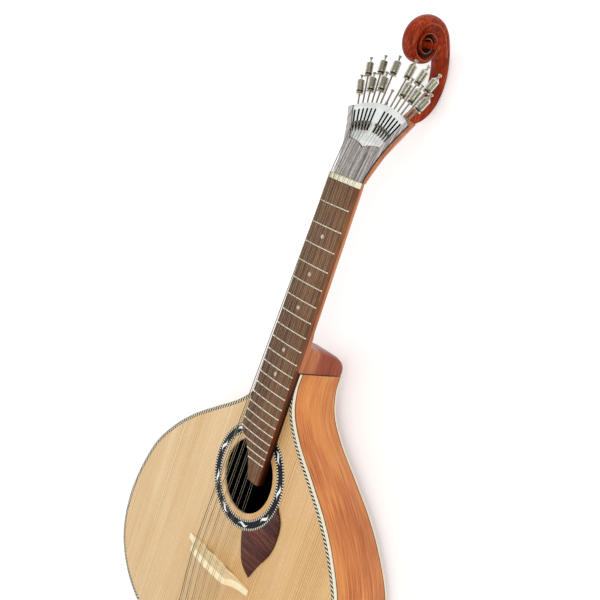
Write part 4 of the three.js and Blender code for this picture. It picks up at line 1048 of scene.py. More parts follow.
@dataclass(frozen=True)
class Finishes:
    """Every finish of the instrument."""

    spruce: Finish = SpruceFinish("spruce top")
    rib: Finish = WoodFinish(
        "rib mahogany", dark="ab5b28", middle="cc7a3d", light="de964f", ring_width=3.4, length=50.0,
        ring_share=0.06, fibre_share=0.7, cloud_share=0.75,
    )
    back: Finish = WoodFinish("back mahogany", dark="8f4e2a", middle="ad6639", light="c27c4d", ring_width=5.0)
    # The neck's wood carries a painted shade on the underside of its heel.
    neck: Finish = WoodFinish(
        "neck mahogany", dark="9a5229", middle="bb7041", light="cf8b55", ring_width=3.0, length=50.0,
        ring_share=0.08, cloud_share=0.5, shade="c69480",
    )
    scroll: Finish = WoodFinish(
        "scroll varnish", dark="6c1d07", middle="922d0c", light="b24717", ring_width=7.0, length=12.0,
        ring_share=0.08, pore_share=0.08, fibre_share=0.7, roughness=0.22, gloss=0.06, coat=0.1,
        coat_roughness=0.06,
    )
    # Painted shade: near black for the deep channels of the volute and the floor round its eye.
    scroll_painted_shade: Finish = WoodFinish(
        "scroll painted shade", dark="1c0602", middle="330d06", light="4b180b", length=10.0, roughness=0.4,
        gloss=0.12, coat=0.0,
    )
    # Painted highlight: a paler copy of the varnish along the ridges, where they catch the light.
    scroll_ridge_highlight: Finish = WoodFinish(
        "scroll painted ridge highlight", dark="8c3c24", middle="a75c43", light="c4866f", length=10.0, roughness=0.25,
        gloss=0.5,
    )
    board: Finish = WoodFinish(
        "fingerboard rosewood", dark="3b2212", middle="744f34", light="986e4c", ring_width=1.5, length=60.0,
        wander=3.0, pore_share=0.7, roughness=0.5, gloss=0.2, coat=0.0,
    )
    board_edge: Finish = WoodFinish(
        "fingerboard edge", dark="4c2812", middle="7a4824", light="9a6436", ring_width=1.2, length=60.0,
        wander=2.0, gloss=0.2,
    )
    # Painted shade: a darker copy of the board's side for where it runs over the body.
    board_side_painted_shade: Finish = WoodFinish(
        "fingerboard side painted shade", dark="260e05", middle="5a2a14", light="7c4526", length=60.0, gloss=0.15,
        coat=0.0,
    )
    # Painted shade: near black for the mahogany raised rib under the board's edge.
    raised_rib_painted_shade: Finish = WoodFinish(
        "raised rib", dark="1c0a03", middle="3f1c0b", light="5a2d17", length=60.0, gloss=0.1, coat=0.0
    )
    finger_plate: Finish = WoodFinish(
        "finger plate rosewood", dark="1c0807", middle="471c16", light="925142", fibre_share=0.55,
        ring_width=2.2, length=50.0, wander=5.0, ring_share=0.8, roughness=0.36, gloss=0.12, coat=0.04,
    )
    # The pale grey tones are partly the veneer's own and partly a painted reflection of white from its gloss.
    veneer: Finish = WoodFinish(
        "head veneer", dark="483932", middle="beb8b6", light="f4f1f2", ring_width=1.5, length=70.0,
        wander=2.5, ring_share=0.7, pore_share=0.8, roughness=0.3, coat=0.3, coat_roughness=0.1,
    )
    # Painted shade: near black for the faces inside the box, which lie in shade.
    inner: Finish = WoodFinish(
        "inner wood painted shade", dark="0a0705", middle="0f0b07", light="16100b", coat=0.0, roughness=0.9, gloss=0.0
    )
    # Painted shade: near black for the carried-over blocks and braces inside the box.
    lining: Finish = WoodFinish(
        "inner spruce painted shade", carried=True, dark="0d0906", middle="140e09", light="1c140d", coat=0.0, roughness=0.9,
        gloss=0.0,
    )
    black_line: Finish = LacquerFinish("black line", tone="0b0908", flake="171210")
    # Painted shade: near black for the slots, the tray and the well under the fan plate.
    slot_shade: Finish = LacquerFinish(
        "tray shade", tone="060605", flake="12110f", roughness=0.7, gloss=0.05, coat=0.0
    )
    rosette_ground: Finish = LacquerFinish(
        "rosette ground", tone="060a10", flake="111b29", gloss=0.1, coat=0.0,
    )
    rope: Finish = StripFinish("edge rope", pitch=4.6, half_width=1.9, line=0.35)
    check: Finish = StripFinish("rosette check", weave=Weave.CHECK, pitch=3.1, half_width=1.35, line=0.16)
    pearl: Finish = PearlFinish("pearl")
    dot: Finish = BoneFinish("dot pearl", light="cfc8ba", dark="b3a998")
    bone: Finish = BoneFinish("bone", light="eee9d9", dark="e0d7bd", mottle=0.3)
    bridge: Finish = BoneFinish("bridge bone", light="fbeac0", dark="e8d09e", fibre=(0.2, 0.8, 0.8))
    binding: Finish = BoneFinish("cream binding", light="ebe2c8", dark="dccfae", fibre=(0.3, 0.02, 0.3))
    fret_metal: Finish = MetalFinish(
        "fret metal", tone="eae4d2", dull="b5ab92", painted_facing_reflection="b9ae98", painted_reflection_share=0.5, roughness=0.24
    )
    nickel: Finish = MetalFinish(
        "tuner nickel", tone="f8f7ee", dull="a9a593", painted_facing_reflection="625e4b", painted_reflection_share=0.9,
    )
    # Painted shade: dark metal for the recessed groove of each knob.
    groove: Finish = MetalFinish("knob groove", tone="57523f", dull="35321f", painted_facing_reflection="1d1b14")
    rod: Finish = MetalFinish("screw steel", tone="c4c0b1", dull="8d897b", painted_facing_reflection="5a564b", painted_reflection_share=0.9)
    hook_metal: Finish = MetalFinish(
        "hook metal", tone="b9b8ab", dull="7d7c6e", painted_facing_reflection="55564c", painted_reflection_share=0.8,
    )
    plate: Finish = PlateFinish("fan plate silver")
    plain_wire: Finish = StringFinish("plain wire")
    wound_wire: Finish = StringFinish("wound wire", tone="8f8672", dull="685f4c", pitch=0.32)


FINISH = Finishes()


# Making pieces


@dataclass(frozen=True)
class Workshop:
    """Turns shapes into pieces that ride on the solids' bodies."""

    sharp_degrees: float = 38.0

    def mesh_object(self, name: str, shape: Shape, finishes: Sequence[Finish]) -> bpy.types.Object:
        """A Blender object from a shape, in the row frame.

        Args:
            name: the object's name.
            shape: its points and faces, in millimetres.
            finishes: its finishes, by their numbers.

        Returns:
            The object.
        """
        mesh = bpy.data.meshes.new(name)
        mesh.from_pydata([tuple(BENCH @ Vector(p)) for p in shape.points], [], shape.faces)
        mesh.polygons.foreach_set("material_index", shape.zones)
        self.tell_places(mesh, shape.places)
        work = bmesh.new()
        work.from_mesh(mesh)
        bmesh.ops.recalc_face_normals(work, faces=work.faces)
        work.to_mesh(mesh)
        work.free()
        made = bpy.data.objects.new(name, mesh)
        bpy.context.scene.collection.objects.link(made)
        for finish in finishes:
            mesh.materials.append(finish.material())
        return made

    def tell_places(self, mesh: bpy.types.Mesh, places: Sequence) -> None:
        """Writes where each point lies in its material.

        Args:
            mesh: the mesh.
            places: a place for each of its points, in millimetres.
        """
        known = mesh.attributes.get("place")
        if known is not None:
            mesh.attributes.remove(known)
        attribute = mesh.attributes.new("place", "FLOAT_VECTOR", "POINT")
        attribute.data.foreach_set("vector", np.array(places, np.float32).ravel())

    def settle(self, piece: bpy.types.Object) -> None:
        """Applies the modifiers of a piece and smooths its faces up to the sharp edges.

        Args:
            piece: the object.
        """
        if piece.modifiers:
            bpy.context.view_layer.update()
            shaped = piece.evaluated_get(bpy.context.evaluated_depsgraph_get())
            mesh = bpy.data.meshes.new_from_object(shaped)
            piece.modifiers.clear()
            piece.data = mesh
        piece.data.polygons.foreach_set("use_smooth", [True] * len(piece.data.polygons))
        piece.data.set_sharp_from_angle(angle=math.radians(self.sharp_degrees))

    def make(
        self, name: str, shape: Shape, finishes: Sequence[Finish], slot: Slot, replaces: Sequence[str] = (),
        body: str | None = "instrument", bevel: float = 0.0, cuts: Sequence[tuple[str, Shape]] = (),
    ) -> bpy.types.Object:
        """Makes one piece.

        Args:
            name: its name.
            shape: its shape.
            finishes: its finishes, by their numbers in the shape.
            slot: the record's slot that it belongs to; not used.
            replaces: the solids that it stands for.
            body: the body it rides on, or None where it is fixed by the caller.
            bevel: how far its sharp edges are broken, in millimetres.
            cuts: booleans to run first, each an operation and a shape.

        Returns:
            The piece.
        """
        piece = self.mesh_object(name, shape, finishes)
        tools = []
        for operation, other in cuts:
            tool = self.mesh_object(f"{name}_tool", other, finishes)
            change = piece.modifiers.new("cut", "BOOLEAN")
            change.operation = operation
            change.solver = "EXACT"
            change.use_self = operation == "UNION"
            change.object = tool
            tools.append(tool)
        if bevel:
            edge = piece.modifiers.new("edges", "BEVEL")
            edge.width = bevel * MM
            edge.segments = 2
            edge.limit_method = "ANGLE"
            edge.angle_limit = math.radians(self.sharp_degrees)
            edge.use_clamp_overlap = True
        self.settle(piece)
        for tool in tools:
            bpy.data.objects.remove(tool)
        if cuts:
            back = BENCH.inverted()
            self.tell_places(piece.data, [tuple(back @ v.co) for v in piece.data.vertices])
        if body is not None:
            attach(piece, body)
        if replaces:
            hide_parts(*replaces)
        log.info("%s: %d faces", name, len(piece.data.polygons))
        return piece


WORKSHOP = Workshop()


# Body


@dataclass
class Body:
    """The teardrop body: soundboard, ribs, back and the strips round their edges."""

    fingerboard: "Fingerboard"
    start: float = 204.0
    length: float = 384.5
    half_width: float = 195.5
    top: float = -9.3
    depth_at_neck: float = 62.6
    depth_at_tail: float = 92.3
    board: float = 2.6
    back_board: float = 2.8
    rib: float = 2.3
    binding: float = 2.2
    binding_height: float = 3.5
    back_binding_height: float = 2.6
    dark_line: float = 0.75
    line_sink: float = 0.02
    rope_inset: float = 1.1
    rope_width: float = 3.7
    rope_depth: float = 1.0
    inlay_rise: float = 0.04
    joint: float = 0.3
    glue: float = 0.05
    hole_radius: float = 41.2
    hole_at: float = -338.0
    hole_steps: int = 128
    rosette_inner: float = 47.6
    rosette_outer: float = 59.6
    rosette_depth: float = 1.2
    steps: int = 352
    shares: tuple = (
        (0.042, 0.131), (0.107, 0.169), (0.169, 0.276), (0.237, 0.453), (0.307, 0.632), (0.38, 0.775),
        (0.486, 0.915), (0.681, 1.0), (0.822, 0.944), (0.916, 0.775), (0.975, 0.5),
    )

    def __post_init__(self) -> None:
        """Draws the outline once."""
        half = [(across * self.half_width, along * self.length) for along, across in self.shares]
        heel = (self.fingerboard.half_width(self.start), 0.0)
        right = [(x, -self.start - self.joint - along) for x, along in [heel, *half]]
        left = [(-x, y) for x, y in reversed(right)]
        tail = (0.0, -self.start - self.length)
        self.edge = evenly(curve_through([*right, tail, *left], 40), self.steps)
        direction = unit_rows(np.gradient(self.edge, axis=0))
        self.inward = np.stack([direction[:, 1], -direction[:, 0]], axis=1)
        self.inward[0] = (-1, 0)
        self.inward[-1] = (1, 0)
        self.run = run_along(self.edge)

    def inset(self, by: float) -> np.ndarray:
        """The outline moved into the body."""
        return self.edge + self.inward * by

    def back_height(self, y: float) -> float:
        """The height of the back's outer face."""
        share = (-self.start - y) / self.length
        return self.top - self.depth_at_neck - (self.depth_at_tail - self.depth_at_neck) * share

    def over_back(self, rise: float) -> Rise:
        """A height that stays as far above the back's outer face."""
        return lambda y: self.back_height(y) + rise

    def strip(
        self, profile: Sequence[tuple[float, Rise]], first: int = 0, last: int | None = None,
        along_first: bool = False,
    ) -> Shape:
        """A strip that follows the outline.

        Args:
            profile: inset of each corner of its section, and its height or a function of y for it.
            first: where on the outline it starts.
            last: where it ends.
            along_first: whether its places tell the height first, as for ribs, or the inset first.

        Returns:
            The shape.
        """
        rings, places = [], []
        piece = slice(first, last)
        for (x, y), (dx, dy), run in zip(self.edge[piece], self.inward[piece], self.run[piece]):
            ring, told = [], []
            for inset, rise in profile:
                py = y + dy * inset
                z = rise(py) if callable(rise) else rise
                ring.append((x + dx * inset, py, z))
                told.append((z, run, inset) if along_first else (inset, run, z))
            rings.append(ring)
            places.append(told)
        return Shape().loft(rings, 0, places)

    def square_strip(self, near: float, far: float, low: Rise, high: Rise) -> Shape:
        """A strip with a square section, between two insets and two heights."""
        return self.strip([(near, low), (near, high), (far, high), (far, low)])

    def build_soundboard(self) -> None:
        """The spruce top in two rings, with the ledge that carries the rosette between them."""
        low = self.top - self.board
        radii = (self.rosette_outer, self.rosette_inner, self.hole_radius)
        outer, inner, hole = (ring_at(radius, self.hole_at, self.hole_steps) for radius in radii)
        # The soundboard's underside gets painted shade.
        shape = Shape().slab(self.inset(self.binding), self.top, low, [outer], low_zone=1)
        shape.slab(inner, self.top, low, [hole], low_zone=1)
        shape.slab(outer, self.top - self.rosette_depth, low, [inner], low_zone=1)
        WORKSHOP.make("soundboard_top", shape, [FINISH.spruce, FINISH.inner], Slot.SPRUCE, ["soundboard"])

    def build_ribs(self) -> None:
        """The two bent sides, which meet at the tail."""
        middle = self.steps // 2
        ledge = self.top - self.binding_height - self.dark_line
        foot = self.over_back(self.back_binding_height + self.dark_line)
        floor = self.over_back(self.back_board)
        under, far = self.top - self.board, 2 * self.rib
        profile = [(0.0, foot), (0.0, ledge), (self.binding, ledge), (self.binding, under)]
        profile += [(far, under), (far, floor), (self.binding, floor), (self.binding, foot)]
        sides = {"treble": (0, middle + 1), "bass": (middle, self.steps + 1)}
        for side, (first, last) in sides.items():
            shape = self.strip(profile, first, last, along_first=True)
            # The ribs' inner faces get painted shade.
            for number in range(len(shape.zones) - 2):
                shape.zones[number] = int(number % len(profile) in (3, 4, 5))
            finishes = [FINISH.rib, FINISH.inner]
            WORKSHOP.make(f"rib_{side}_side", shape, finishes, Slot.MAHOGANY, [f"rib_{side}"], bevel=0.15)

    def build_edges(self) -> None:
        """Cream bindings, the black line below each and the rope of two woods on the top."""
        low, line, rise = self.top - self.binding_height, self.dark_line, self.back_binding_height
        top = self.square_strip(0.0, self.binding, low, self.top)
        WORKSHOP.make("top_edge_binding", top, [FINISH.binding], Slot.BINDING, ["top_binding"], bevel=0.45)
        under = self.square_strip(0.0, self.binding, self.back_height, self.over_back(rise))
        WORKSHOP.make(
            "back_edge_binding", under, [FINISH.binding], Slot.BINDING, ["back_binding"], bevel=0.45,
        )
        both = self.square_strip(self.line_sink, self.binding, low - line, low)
        above = (self.over_back(rise), self.over_back(rise + line))
        both.joined(self.square_strip(self.line_sink, self.binding, *above))
        WORKSHOP.make("binding_black_lines", both, [FINISH.black_line], Slot.BINDING)

    def build_rope(self) -> None:
        """The rope of dark and pale wood let into the top, just inside the binding."""
        near, far = self.rope_inset, self.rope_inset + self.rope_width
        shape = self.square_strip(near, far, self.top - self.rope_depth, self.top + self.inlay_rise)
        shape.places = [(inset - (near + far) / 2, run, z) for inset, run, z in shape.places]
        WORKSHOP.make("edge_rope", shape, [FINISH.rope], Slot.INLAY)

    def build_back(self) -> None:
        """The flat back inside its binding."""
        plan = self.inset(self.binding)
        floor = self.over_back(self.back_board)
        # The back's inner face gets painted shade.
        shape = Shape().slab(
            plan, lambda x, y: floor(y), lambda x, y: self.back_height(y), zone=1, side_zone=0, low_zone=0
        )
        WORKSHOP.make("back_plate", shape, [FINISH.back, FINISH.inner], Slot.MAHOGANY, ["back"])

    def dress_inside(self) -> None:
        """Gives the carried-over blocks and braces a near-black painted shade, as they lie inside the box."""
        braces = ("top_brace_1", "top_brace_2", "back_brace_1", "back_brace_2")
        for name in ("neck_block", "tail_block", *braces):
            node = frame["nodes"][name]
            node.data.materials.clear()
            node.data.materials.append(FINISH.lining.material())

    def build(self) -> None:
        """Builds the whole body."""
        self.build_soundboard()
        self.build_ribs()
        self.build_edges()
        self.build_rope()
        self.build_back()
        self.dress_inside()


@dataclass
class Rosette:
    """The inlaid ring round the sound hole: two check rings, a dark band and pearl waves."""

    body: Body
    check: float = 2.7
    pearl_count: int = 9
    pearl_first: float = 19.0
    pearl_spread: float = 9.4
    pearl_wave: float = 1.4
    pearl_half_width: float = 1.8
    pearl_depth: float = 0.4
    pearl_steps: int = 20
    steps: int = 180

    def band(self, inner: float, outer: float, zone: int) -> Shape:
        """A flat ring whose places run along and across it.

        Args:
            inner: its inner radius.
            outer: its outer radius.
            zone: its finish number.

        Returns:
            The shape.
        """
        body, middle = self.body, (inner + outer) / 2
        low, high = body.top - body.rosette_depth, body.top + body.inlay_rise
        points, places, faces = [], [], []
        for k in range(self.steps + 1):
            turn = 2 * math.pi * k / self.steps
            for radius, z in ((inner, low), (inner, high), (outer, high), (outer, low)):
                points.append((*turned_place(radius, turn, body.hole_at), z))
                places.append((radius - middle, middle * turn, z))
        for start in range(0, 4 * self.steps, 4):
            pairs = [(start + i, start + (i + 1) % 4) for i in range(4)]
            faces += [(i, j, j + 4, i + 4) for i, j in pairs]
        return Shape().add(points, faces, zone, places)

    def pearl(self, degrees: float) -> Shape:
        """One wave of pearl, lying along the middle of the dark band.

        Args:
            degrees: the angle of its middle, from the tail toward the treble side.

        Returns:
            The shape.
        """
        body = self.body
        upper, lower = [], []
        for share in np.linspace(-1, 1, self.pearl_steps + 1):
            turn = math.radians(degrees + share * self.pearl_spread)
            line = (body.rosette_inner + body.rosette_outer) / 2
            line += self.pearl_wave * math.sin(share * math.pi * 1.1)
            half = self.pearl_half_width * max(1 - abs(share) ** 3, 0.06)
            half *= 0.6 + 0.4 * math.cos(share * math.pi)
            upper.append(turned_place(line + half, turn, body.hole_at))
            lower.append(turned_place(line - half, turn, body.hole_at))
        outline = np.array(upper + lower[::-1])
        return Shape().slab(outline, body.top + 2 * body.inlay_rise, body.top - self.pearl_depth, zone=2)

    def build(self) -> None:
        """Builds the ring and its pearl."""
        inner, outer = self.body.rosette_inner, self.body.rosette_outer
        shape = self.band(inner, inner + self.check, 1)
        shape.joined(self.band(inner + self.check, outer - self.check, 0))
        shape.joined(self.band(outer - self.check, outer, 1))
        for k in range(self.pearl_count):
            shape.joined(self.pearl(self.pearl_first + 360 * k / self.pearl_count))
        finishes = [FINISH.rosette_ground, FINISH.check, FINISH.pearl]
        WORKSHOP.make("rosette_ring", shape, finishes, Slot.INLAY, ["rosette"])


@dataclass
class FingerPlate:
    """The dark plate between the sound hole and the bridge."""

    body: Body
    thickness: float = 1.5
    lift: float = 0.1
    gap: float = 0.3
    reach: float = 36.0
    arc: Pair = (19.6, 85.6)
    edge: tuple = ((1.205, 0.56), (1.213, 1.44), (1.005, 2.14))
    tip: Pair = (0.877, 2.64)
    inner: tuple = ((0.6, 2.39), (0.41, 1.86))

    def place(self, share: Pair) -> Pair:
        """A place of its edge from its shares across and along."""
        across, along = share
        return (across * self.body.rosette_outer, self.body.hole_at - along * self.reach)

    def build(self) -> None:
        """Builds the plate against the rosette."""
        seat = self.body.rosette_outer + self.gap
        arc = [turned_place(seat, math.radians(d), self.body.hole_at) for d in np.linspace(*self.arc, 24)]
        tip = self.place(self.tip)
        outer = curve_through([arc[-1], *[self.place(s) for s in self.edge], tip], 8)
        back = curve_through([tip, *[self.place(s) for s in self.inner], arc[0]], 8)
        low = self.body.top + self.lift
        outline = np.array([*arc, *outer[1:], *back[1:-1]])
        shape = Shape().slab(outline, low + self.thickness, self.body.top + self.lift / 2, side_zone=1)
        shape.places = [(y, x, z) for x, y, z in shape.points]
        finishes = [FINISH.finger_plate, FINISH.black_line]
        WORKSHOP.make("finger_rest", shape, finishes, Slot.ROSEWOOD, ["finger_plate"], bevel=0.35)


# Neck and fingerboard


@dataclass
class Fingerboard:
    """The board with its camber, its tongue over the sound hole, its frets and dots."""

    scale: float = 445.0
    nut_width: float = 46.4
    nut_length: float = 6.0
    twelfth_width: float = 52.0
    thickness: float = 5.5
    camber: float = 1.4
    fret_rise: float = 0.9
    fret_width: float = 1.5
    fret_inset: float = 0.2
    fret_foot: float = 0.6
    frets: int = 21
    cut_fret: int = 18
    cut_margin: float = 1.2
    tongue: float = 335.5
    tongue_width: float = 16.0
    cut_shares: tuple = ((0.28, 0.15), (0.64, 0.42), (0.84, 0.7))
    dots: tuple = (3, 5, 7, 10, 12)
    dot_radius: float = 2.3
    dot_rise: float = 0.05
    dot_depth: float = 1.0
    across_steps: int = 16
    edge_end: float = 196.0

    def half_width(self, distance: float) -> float:
        """Half of the board's width at a distance from the nut."""
        gain = (self.twelfth_width - self.nut_width) / (self.scale / 2)
        return (self.nut_width + gain * distance) / 2

    def fret_at(self, number: float) -> float:
        """The distance of a fret from the nut."""
        return self.scale * (1 - 2 ** (-number / 12))

    def cut_start(self) -> float:
        """The distance from the nut at which the tongue's cut begins."""
        return self.fret_at(self.cut_fret) + self.cut_margin

    def camber_at(self, x: float, half: float) -> float:
        """How far the board's face lies above its edges."""
        return self.camber * (1 - (x / half) ** 2)

    def cut_line(self) -> np.ndarray:
        """The bass edge of the tongue, over the sound hole.

        Returns:
            The line, from the board's edge to the tongue's end.
        """
        start = self.cut_start()
        end = self.half_width(self.tongue) - self.tongue_width
        edge = -self.half_width(start)
        run = self.tongue - start
        between = [(edge + (end - edge) * x, -start - run * y) for x, y in self.cut_shares]
        return curve_through([(edge, -start), *between, (end, -self.tongue)], 12)

    def left_edge(self, distance: float) -> float:
        """The board's bass edge.

        Args:
            distance: how far from the nut.

        Returns:
            Its x there.
        """
        if distance <= self.cut_start():
            return -self.half_width(distance)
        line = self.cut_line()
        return float(np.interp(distance, -line[:, 1], line[:, 0]))

    def stations(self, start: float, end: float) -> list[float]:
        """Distances from the nut, denser where the bass edge bends.

        Args:
            start: the first.
            end: the last.

        Returns:
            The distances.
        """
        cut = self.cut_start()
        return [*np.linspace(start, cut, 24), *np.linspace(cut, end, 30)[1:]]

    def build_board(self) -> None:
        """The board itself."""
        rings = []
        for distance in self.stations(0.0, self.tongue):
            half, left = self.half_width(distance), self.left_edge(distance)
            xs = np.linspace(left, half, self.across_steps + 1)
            crown = [(x, -distance, self.camber_at(x, half)) for x in xs]
            rings.append([(half, -distance, -self.thickness), (left, -distance, -self.thickness), *crown])
        shape = Shape().loft(rings)
        size = len(rings[0])
        for number in range(size * (len(rings) - 1)):
            if number % size in (1, size - 1):
                # Sides beyond edge_end, over the body, take the painted shade.
                shape.zones[number] = 1 if -rings[number // size][0][1] < self.edge_end else 2
        finishes = [FINISH.board, FINISH.board_edge, FINISH.board_side_painted_shade]
        WORKSHOP.make("fingerboard_face", shape, finishes, Slot.ROSEWOOD, ["fingerboard"], bevel=0.3)

    def fret(self, number: int) -> Shape:
        """One fret with a rounded crown and sloped ends.

        Args:
            number: its number from the nut.

        Returns:
            The shape.
        """
        distance = self.fret_at(number)
        half, reach = self.half_width(distance), self.fret_width / 2
        left, right = self.left_edge(distance) + self.fret_inset, half - self.fret_inset
        xs = [left, left + 0.5, *np.linspace(left + 2, right - 2, 12), right - 0.5, right]
        slopes = [0.25, 0.85, *[1.0] * 12, 0.85, 0.25]
        rings = []
        for x, slope in zip(xs, slopes):
            base = self.camber_at(x, half)
            section = [(x, reach - distance, base - self.fret_foot)]
            for t in np.linspace(0, math.pi, 7):
                rise = self.fret_rise * slope * max(math.sin(t), 0.0) ** 0.8
                section.append((x, reach * math.cos(t) - distance, base + rise))
            rings.append([*section, (x, -reach - distance, base - self.fret_foot)])
        return Shape().loft(rings)

    def build_frets(self) -> None:
        """All frets, one behind the other."""
        shape = Shape()
        for number in range(1, self.frets + 1):
            shape.joined(self.fret(number))
        WORKSHOP.make("frets", shape, [FINISH.fret_metal], Slot.NICKEL)

    def build_dots(self) -> None:
        """The pearl dots between the frets."""
        shape = Shape()
        for number in self.dots:
            middle = (self.fret_at(number) + self.fret_at(number - 1)) / 2
            disc = ring_at(self.dot_radius, -middle, 28)
            shape.slab(disc, self.camber + self.dot_rise, self.camber - self.dot_depth)
        WORKSHOP.make("position_dots", shape, [FINISH.dot], Slot.INLAY)

    def build(self) -> None:
        """Builds the board, its frets and its dots."""
        self.build_board()
        self.build_frets()
        self.build_dots()


@dataclass
class Neck:
    """The neck with its heel, its head and the raised rib under the fingerboard's end."""

    body: Body
    board: Fingerboard
    depth: float = 11.5
    heel: float = 25.0
    heel_end_share: float = 1.8
    margin_end_share: float = 1.6
    heel_margin: float = 2.0
    shaft_fullness: float = 2.3
    shaft_keel_share: float = 0.06
    head_length: float = 77.0
    head_half_start: float = 22.3
    head_half_end: float = 46.6
    keel_half: float = 6.5
    head_wall: float = 5.5
    keel_start: float = 20.0
    keel_drop: float = 67.0
    wood_top: float = -1.7
    rim: float = 89.6
    well_inner: float = 54.2
    well_depth: float = 7.2
    well_overrun: float = 9.0
    well_top: float = 20.0
    trim_top: float = 40.0
    fan_half: float = 27.2
    arc_steps: int = 14
    heel_shares: tuple = (
        (0.0, 1.02, 8.0, 0.5), (0.14, 1.03, 7.5, 0.5), (0.3, 1.025, 7.0, 0.5), (0.53, 0.99, 6.0, 0.45),
        (0.8, 0.85, 4.5, 0.35), (0.95, 0.63, 3.2, 0.25), (1.15, 0.28, 2.4, 0.1), (1.26, 0.19, 2.3, 0.06),
    )
    head_shares: tuple = (
        (0.0, 1.8, 0.2), (0.2, 1.35, 0.6), (0.36, 1.12, 0.9), (0.54, 1.0, 1.0), (1.24, 1.0, 1.0),
    )

    def __post_init__(self) -> None:
        """Sets the height of the wood's flat top."""
        self.top = -(self.board.thickness + self.body.joint)

    def head_half(self, along: float) -> float:
        """Half of the head's width at a distance beyond the nut."""
        share = min(max(along / self.head_length, 0.0), 1.25)
        return self.head_half_start + (self.head_half_end - self.head_half_start) * share**1.9

    def section(
        self, along: float, half: float, top: float, wall: float, bottom: float, keel: float, fullness: float
    ) -> list[tuple[float, float, float]]:
        """One cross-section, from the flat top round the underside.

        Args:
            along: y of the section.
            half: half of its width.
            top: height of its flat top.
            wall: how far its sides go straight down.
            bottom: height of its lowest line.
            keel: half width of its flat underside.
            fullness: how square its corners are.

        Returns:
            Its points.
        """
        right = []
        for turn in np.linspace(0, math.pi / 2, self.arc_steps + 1):
            across = keel + (half - keel) * max(math.cos(turn), 0.0) ** (2 / fullness)
            down = (top - wall - bottom) * math.sin(turn) ** (2 / fullness)
            right.append((across, along, top - wall - down))
        left = [(-x, y, z) for x, y, z in reversed(right)]
        return [(-half, along, top), (half, along, top), *right, *left]

    def heel_sections(self) -> list:
        """Sections from the body to the shaft.

        Returns:
            The sections.
        """
        full = self.top - self.body.back_height(-self.body.start)
        shaft = (self.heel_end_share, self.depth / full, self.shaft_fullness, self.shaft_keel_share)
        places, depths, fullness, keels = zip(*self.heel_shares, shaft)
        walls = ((self.margin_end_share, self.heel_end_share), (self.heel_margin, self.body.joint))
        rings = []
        for place in np.linspace(0, self.heel_end_share, 37):
            distance = self.body.start - place * self.heel
            half = self.board.half_width(distance)
            bottom = self.top - full * eased(place, places, depths)
            keel, full_at = eased(place, places, keels) * half, eased(place, places, fullness)
            rings.append(self.section(-distance, half, self.top, eased(place, *walls), bottom, keel, full_at))
        return rings

    def shaft_sections(self) -> list:
        """Sections from the heel to the nut.

        Returns:
            The sections.
        """
        start = self.body.start - self.heel_end_share * self.heel
        nut, joint = self.board.nut_length, self.body.joint
        rings = []
        for distance in (*np.linspace(start, nut, 12)[1:], 0.0, joint - nut):
            half = self.board.half_width(distance) if distance >= 0 else self.head_half_start
            keel = self.shaft_keel_share * half
            bottom = self.top - self.depth
            rings.append(self.section(-distance, half, self.top, joint, bottom, keel, self.shaft_fullness))
        return rings

    def head_sections(self) -> list:
        """Sections of the head's wooden core.

        Returns:
            The sections.
        """
        places, fullness, walls = zip(*self.head_shares)
        tilt = math.radians(PLACE.head_tilt)
        nut = self.board.nut_length
        rings = []
        for share in np.linspace(nut / self.head_length, places[-1], 30):
            along = share * self.head_length
            top = -PLACE.head_drop - math.tan(tilt) * along + self.wood_top / math.cos(tilt)
            run = (along - nut) / (self.head_length - nut)
            bottom = -self.keel_start - (self.keel_drop - self.keel_start) * run
            wall, full = self.head_wall * eased(share, places, walls), eased(share, places, fullness)
            rings.append(self.section(along, self.head_half(along), top, wall, bottom, self.keel_half, full))
        return rings

    def end_trim(self) -> Shape:
        """The stock that the round end of the head takes away.

        Returns:
            The shape.
        """
        far = 2 * self.rim
        arc = fan_arc(self.rim, 60, -60, 96)
        outline = np.array([*arc, (-far, arc[-1][1]), (-far, far), (far, far), (far, arc[0][1])])
        return Shape().slab(outline, self.trim_top, -3 * self.keel_drop).moved(HEAD)

    def well(self) -> Shape:
        """The hollow that takes the metal tray."""
        outline = fan_sector(self.well_inner, self.rim + self.well_overrun, self.fan_half, (36, 48))
        # Its walls and floor take painted shade.
        return Shape().slab(outline, self.well_top, -self.well_depth, side_zone=1, low_zone=1).moved(HEAD)

    def raised_rib(self) -> Shape:
        """The wood between the soundboard and the fingerboard's end.

        Returns:
            The shape.
        """
        joint, glue = self.body.joint, self.body.glue
        high, low = -self.board.thickness - glue, self.body.top + glue
        rings = []
        for distance in self.board.stations(self.body.start, self.board.tongue - joint):
            left, right = self.board.left_edge(distance) + joint, self.board.half_width(distance) - joint
            corners = ((left, low), (left, high), (right, high), (right, low))
            rings.append([(x, -distance, z) for x, z in corners])
        return Shape().loft(rings)

    def joint_line(self) -> Shape:
        """The thin dark line where the heel meets the ribs.

        Returns:
            The shape.
        """
        bottom = self.body.back_height(-self.body.start) - 1.5
        half = self.board.half_width(self.body.start) + 0.2
        places = (-self.body.start - 0.5, -self.body.start + 0.85)
        margin, flat = self.heel_margin, 0.5 * half
        return Shape().loft([self.section(y, half, self.top, margin, bottom, flat, 7.0) for y in places])

    def build(self) -> None:
        """Builds the neck in one piece with its raised rib."""
        shape = Shape().loft([*self.heel_sections(), *self.shaft_sections(), *self.head_sections()])
        cuts = [("DIFFERENCE", self.end_trim()), ("DIFFERENCE", self.well())]
        finishes = [FINISH.neck, FINISH.slot_shade]
        WORKSHOP.make("neck_wood", shape, finishes, Slot.MAHOGANY, ["neck"], cuts=cuts, bevel=0.25)
        WORKSHOP.make("raised_rib", self.raised_rib(), [FINISH.raised_rib_painted_shade], Slot.MAHOGANY, bevel=0.1)
        WORKSHOP.make("heel_joint_line", self.joint_line(), [FINISH.black_line], Slot.MAHOGANY)


# Head, fan tuner and scroll


